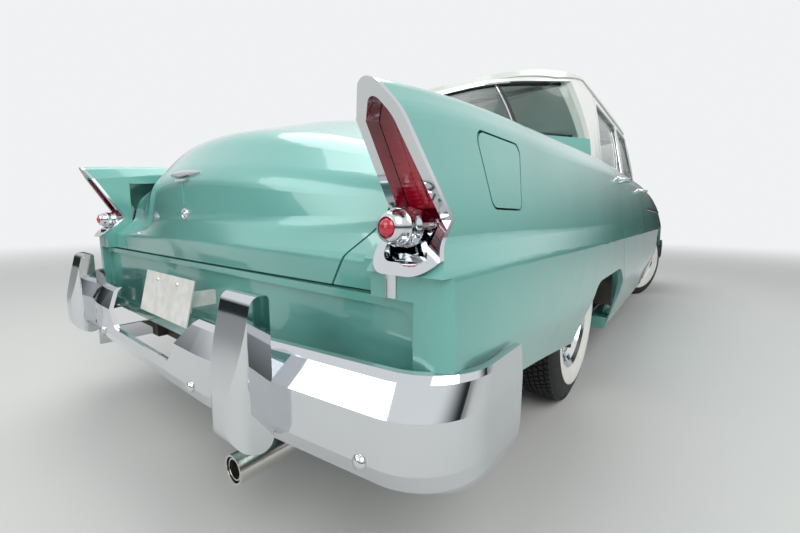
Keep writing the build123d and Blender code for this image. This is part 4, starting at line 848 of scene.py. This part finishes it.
def cushion(name, low, high, lean=0.0):
    """A stuffed seat part: crowned faces, drawn-in sides and sewn channels."""
    low, high = Vector(low), Vector(high)
    centre, half = (low + high) / 2, (high - low) / 2
    thin = min(range(3), key=lambda i: half[i])
    wide = [i for i in range(3) if i != thin]
    grid = bmesh.new()
    bmesh.ops.create_cube(grid, size=2)
    bmesh.ops.subdivide_edges(grid, edges=grid.edges[:], cuts=CUSHION_CUTS, use_grid_fill=True)
    for v in grid.verts:
        p = v.co / sum(abs(c) ** 7 for c in v.co) ** (1 / 7)
        swell = (1 - p[wide[0]] ** 2) * (1 - p[wide[1]] ** 2)
        seam = abs(math.sin(CHANNELS * math.pi * (p.y + 1) / 2)) ** 0.35
        p[thin] *= 1 - CROWN * (1 - swell) - SEAM_DEPTH * (1 - seam)
        for i in wide:
            p[i] *= 1 - DRAWN_IN * (1 - abs(p[thin])) - DRAWN_IN * swell
        v.co = centre + Vector((p.x * half.x + lean * p.z, p.y * half.y, p.z * half.z))
    shape = finish_piece(name, close_up(grid), "body", VINYL, sharp=None)
    return shape


for seat in ("front_seat", "rear_seat"):
    low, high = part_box(seat)
    back = low.x + 0.15
    cushion(seat + "_cushion", (back - 0.03, low.y + 0.01, low.z + 0.16),
            (high.x - 0.002, high.y - 0.01, CUSHION_TOP))
    made = cushion(seat + "_back", (low.x + 0.045, low.y + 0.012, low.z + 0.22),
                   (low.x + 0.185, high.y - 0.012, high.z - 0.003), BACK_LEAN)
    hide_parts(seat)
    plinth = ((low.x + 0.06, low.z), (high.x - 0.03, low.z), (high.x - 0.01, low.z + 0.17),
              (back - 0.02, low.z + 0.20), (low.x + 0.05, low.z + 0.23))
    skinned(seat + "_base", [[Vector((x, y, z)) for x, z in plinth]
                             for y in (low.y + 0.02, 0, high.y - 0.02)], "body", PLINTH)

# Studio: a pale floor that turns plain white far off
FLOOR_HALF, FADE_FROM, FADE_TO = 60.0, 3.5, 13.0
STUDIO_WHITE = rgb(240, 241, 242)
floor = bpy.data.meshes.new("studio_floor")
grid = bmesh.new()
for x, y in ((-1, -1), (1, -1), (1, 1), (-1, 1)):
    grid.verts.new((x * FLOOR_HALF, y * FLOOR_HALF, 0))
grid.faces.new(grid.verts)
grid.to_mesh(floor)
grid.free()
floor_object = bpy.data.objects.new("studio_floor", floor)
bpy.context.scene.collection.objects.link(floor_object)
floor_made, g = material("studio_floor")
x, y = g.axes()[:2]
far = g.step((x * x + y * y) ** 0.5, FADE_FROM, FADE_TO)
seen = g.add("ShaderNodeLightPath").out("Is Camera Ray")
paper = g.add("ShaderNodeBsdfPrincipled", None, {
    "Base Color": g.mix(g.noise(3.0, detail=4.0) * 0.4, rgb(208, 208, 205),
                        rgb(200, 200, 197)),
    "Roughness": 0.85})
glow = g.add("ShaderNodeEmission", None, {"Color": STUDIO_WHITE})
blend = g.add("ShaderNodeMixShader", None, {0: far * seen, 1: paper, 2: glow})
g.add("ShaderNodeOutputMaterial", None, {"Surface": blend})
floor.materials.append(floor_made)

# World: even light, a white backdrop, and a sky over dark ground for what is mirrored
world = bpy.data.worlds.new("studio")
bpy.context.scene.world = world
world.use_nodes = True
g = Graph(world.node_tree)
rays = g.add("ShaderNodeLightPath")
ways = g.add("ShaderNodeTexCoord").out("Generated")
sky = g.add("ShaderNodeSeparateXYZ", None, {0: ways}).out("Z")
mirror_sky = g.mix(g.step(sky, 0.02, 0.30), rgb(44, 52, 50), rgb(240, 242, 244))
plain = g.add("ShaderNodeBackground", None, {"Color": rgb(226, 230, 234), "Strength": 0.55})
shown = g.add("ShaderNodeBackground", None, {
    "Color": g.mix(rays.out("Is Glossy Ray"), STUDIO_WHITE, mirror_sky), "Strength": 1.0})
eye = g.maths("MAXIMUM", rays.out("Is Camera Ray"), rays.out("Is Glossy Ray"))
eye = g.maths("MAXIMUM", eye, rays.out("Is Transmission Ray"))
backdrop = g.add("ShaderNodeMixShader", None, {0: eye, 1: plain, 2: shown})
g.add("ShaderNodeOutputWorld", None, {"Surface": backdrop})

# Lamps: name, place, aim, size, watts
LAMPS = (
    ("key", (-4.5, -5.0, 5.5), (-1.6, 0, 0.6), 5.5, 300),
    ("over", (0.0, 1.5, 6.5), (0, 0, 0.8), 6.0, 200),
    ("tail", (-7.5, 1.5, 3.2), (-2.2, 0, 0.7), 4.0, 95),
)
for name, place, aim, size, watts in LAMPS:
    light = bpy.data.lights.new("lamp_" + name, "AREA")
    light.shape = "DISK"
    light.size = size
    light.energy = watts
    lamp = bpy.data.objects.new("lamp_" + name, light)
    bpy.context.scene.collection.objects.link(lamp)
    lamp.location = place
    lamp.rotation_mode = "QUATERNION"
    lamp.rotation_quaternion = (Vector(aim) - Vector(place)).to_track_quat("-Z", "Y")

lens = bpy.data.cameras.new("photo_camera")
lens.lens = CAMERA_LENS
lens.sensor_width = SENSOR
lens.clip_start = 0.02
lens.clip_end = 200
camera = bpy.data.objects.new("photo_camera", lens)
bpy.context.scene.collection.objects.link(camera)
yaw, pitch = math.radians(CAMERA_YAW), math.radians(CAMERA_PITCH)
roll = Matrix.Rotation(math.radians(CAMERA_ROLL), 3, "Z").to_quaternion()
gaze = Vector((math.cos(pitch) * math.cos(yaw), math.cos(pitch) * math.sin(yaw),
               math.sin(pitch)))
camera.location = CAMERA_PLACE
camera.rotation_mode = "QUATERNION"
camera.rotation_quaternion = gaze.to_track_quat("-Z", "Y") @ roll
bpy.context.scene.camera = camera

bpy.context.scene.view_settings.view_transform = "Standard"
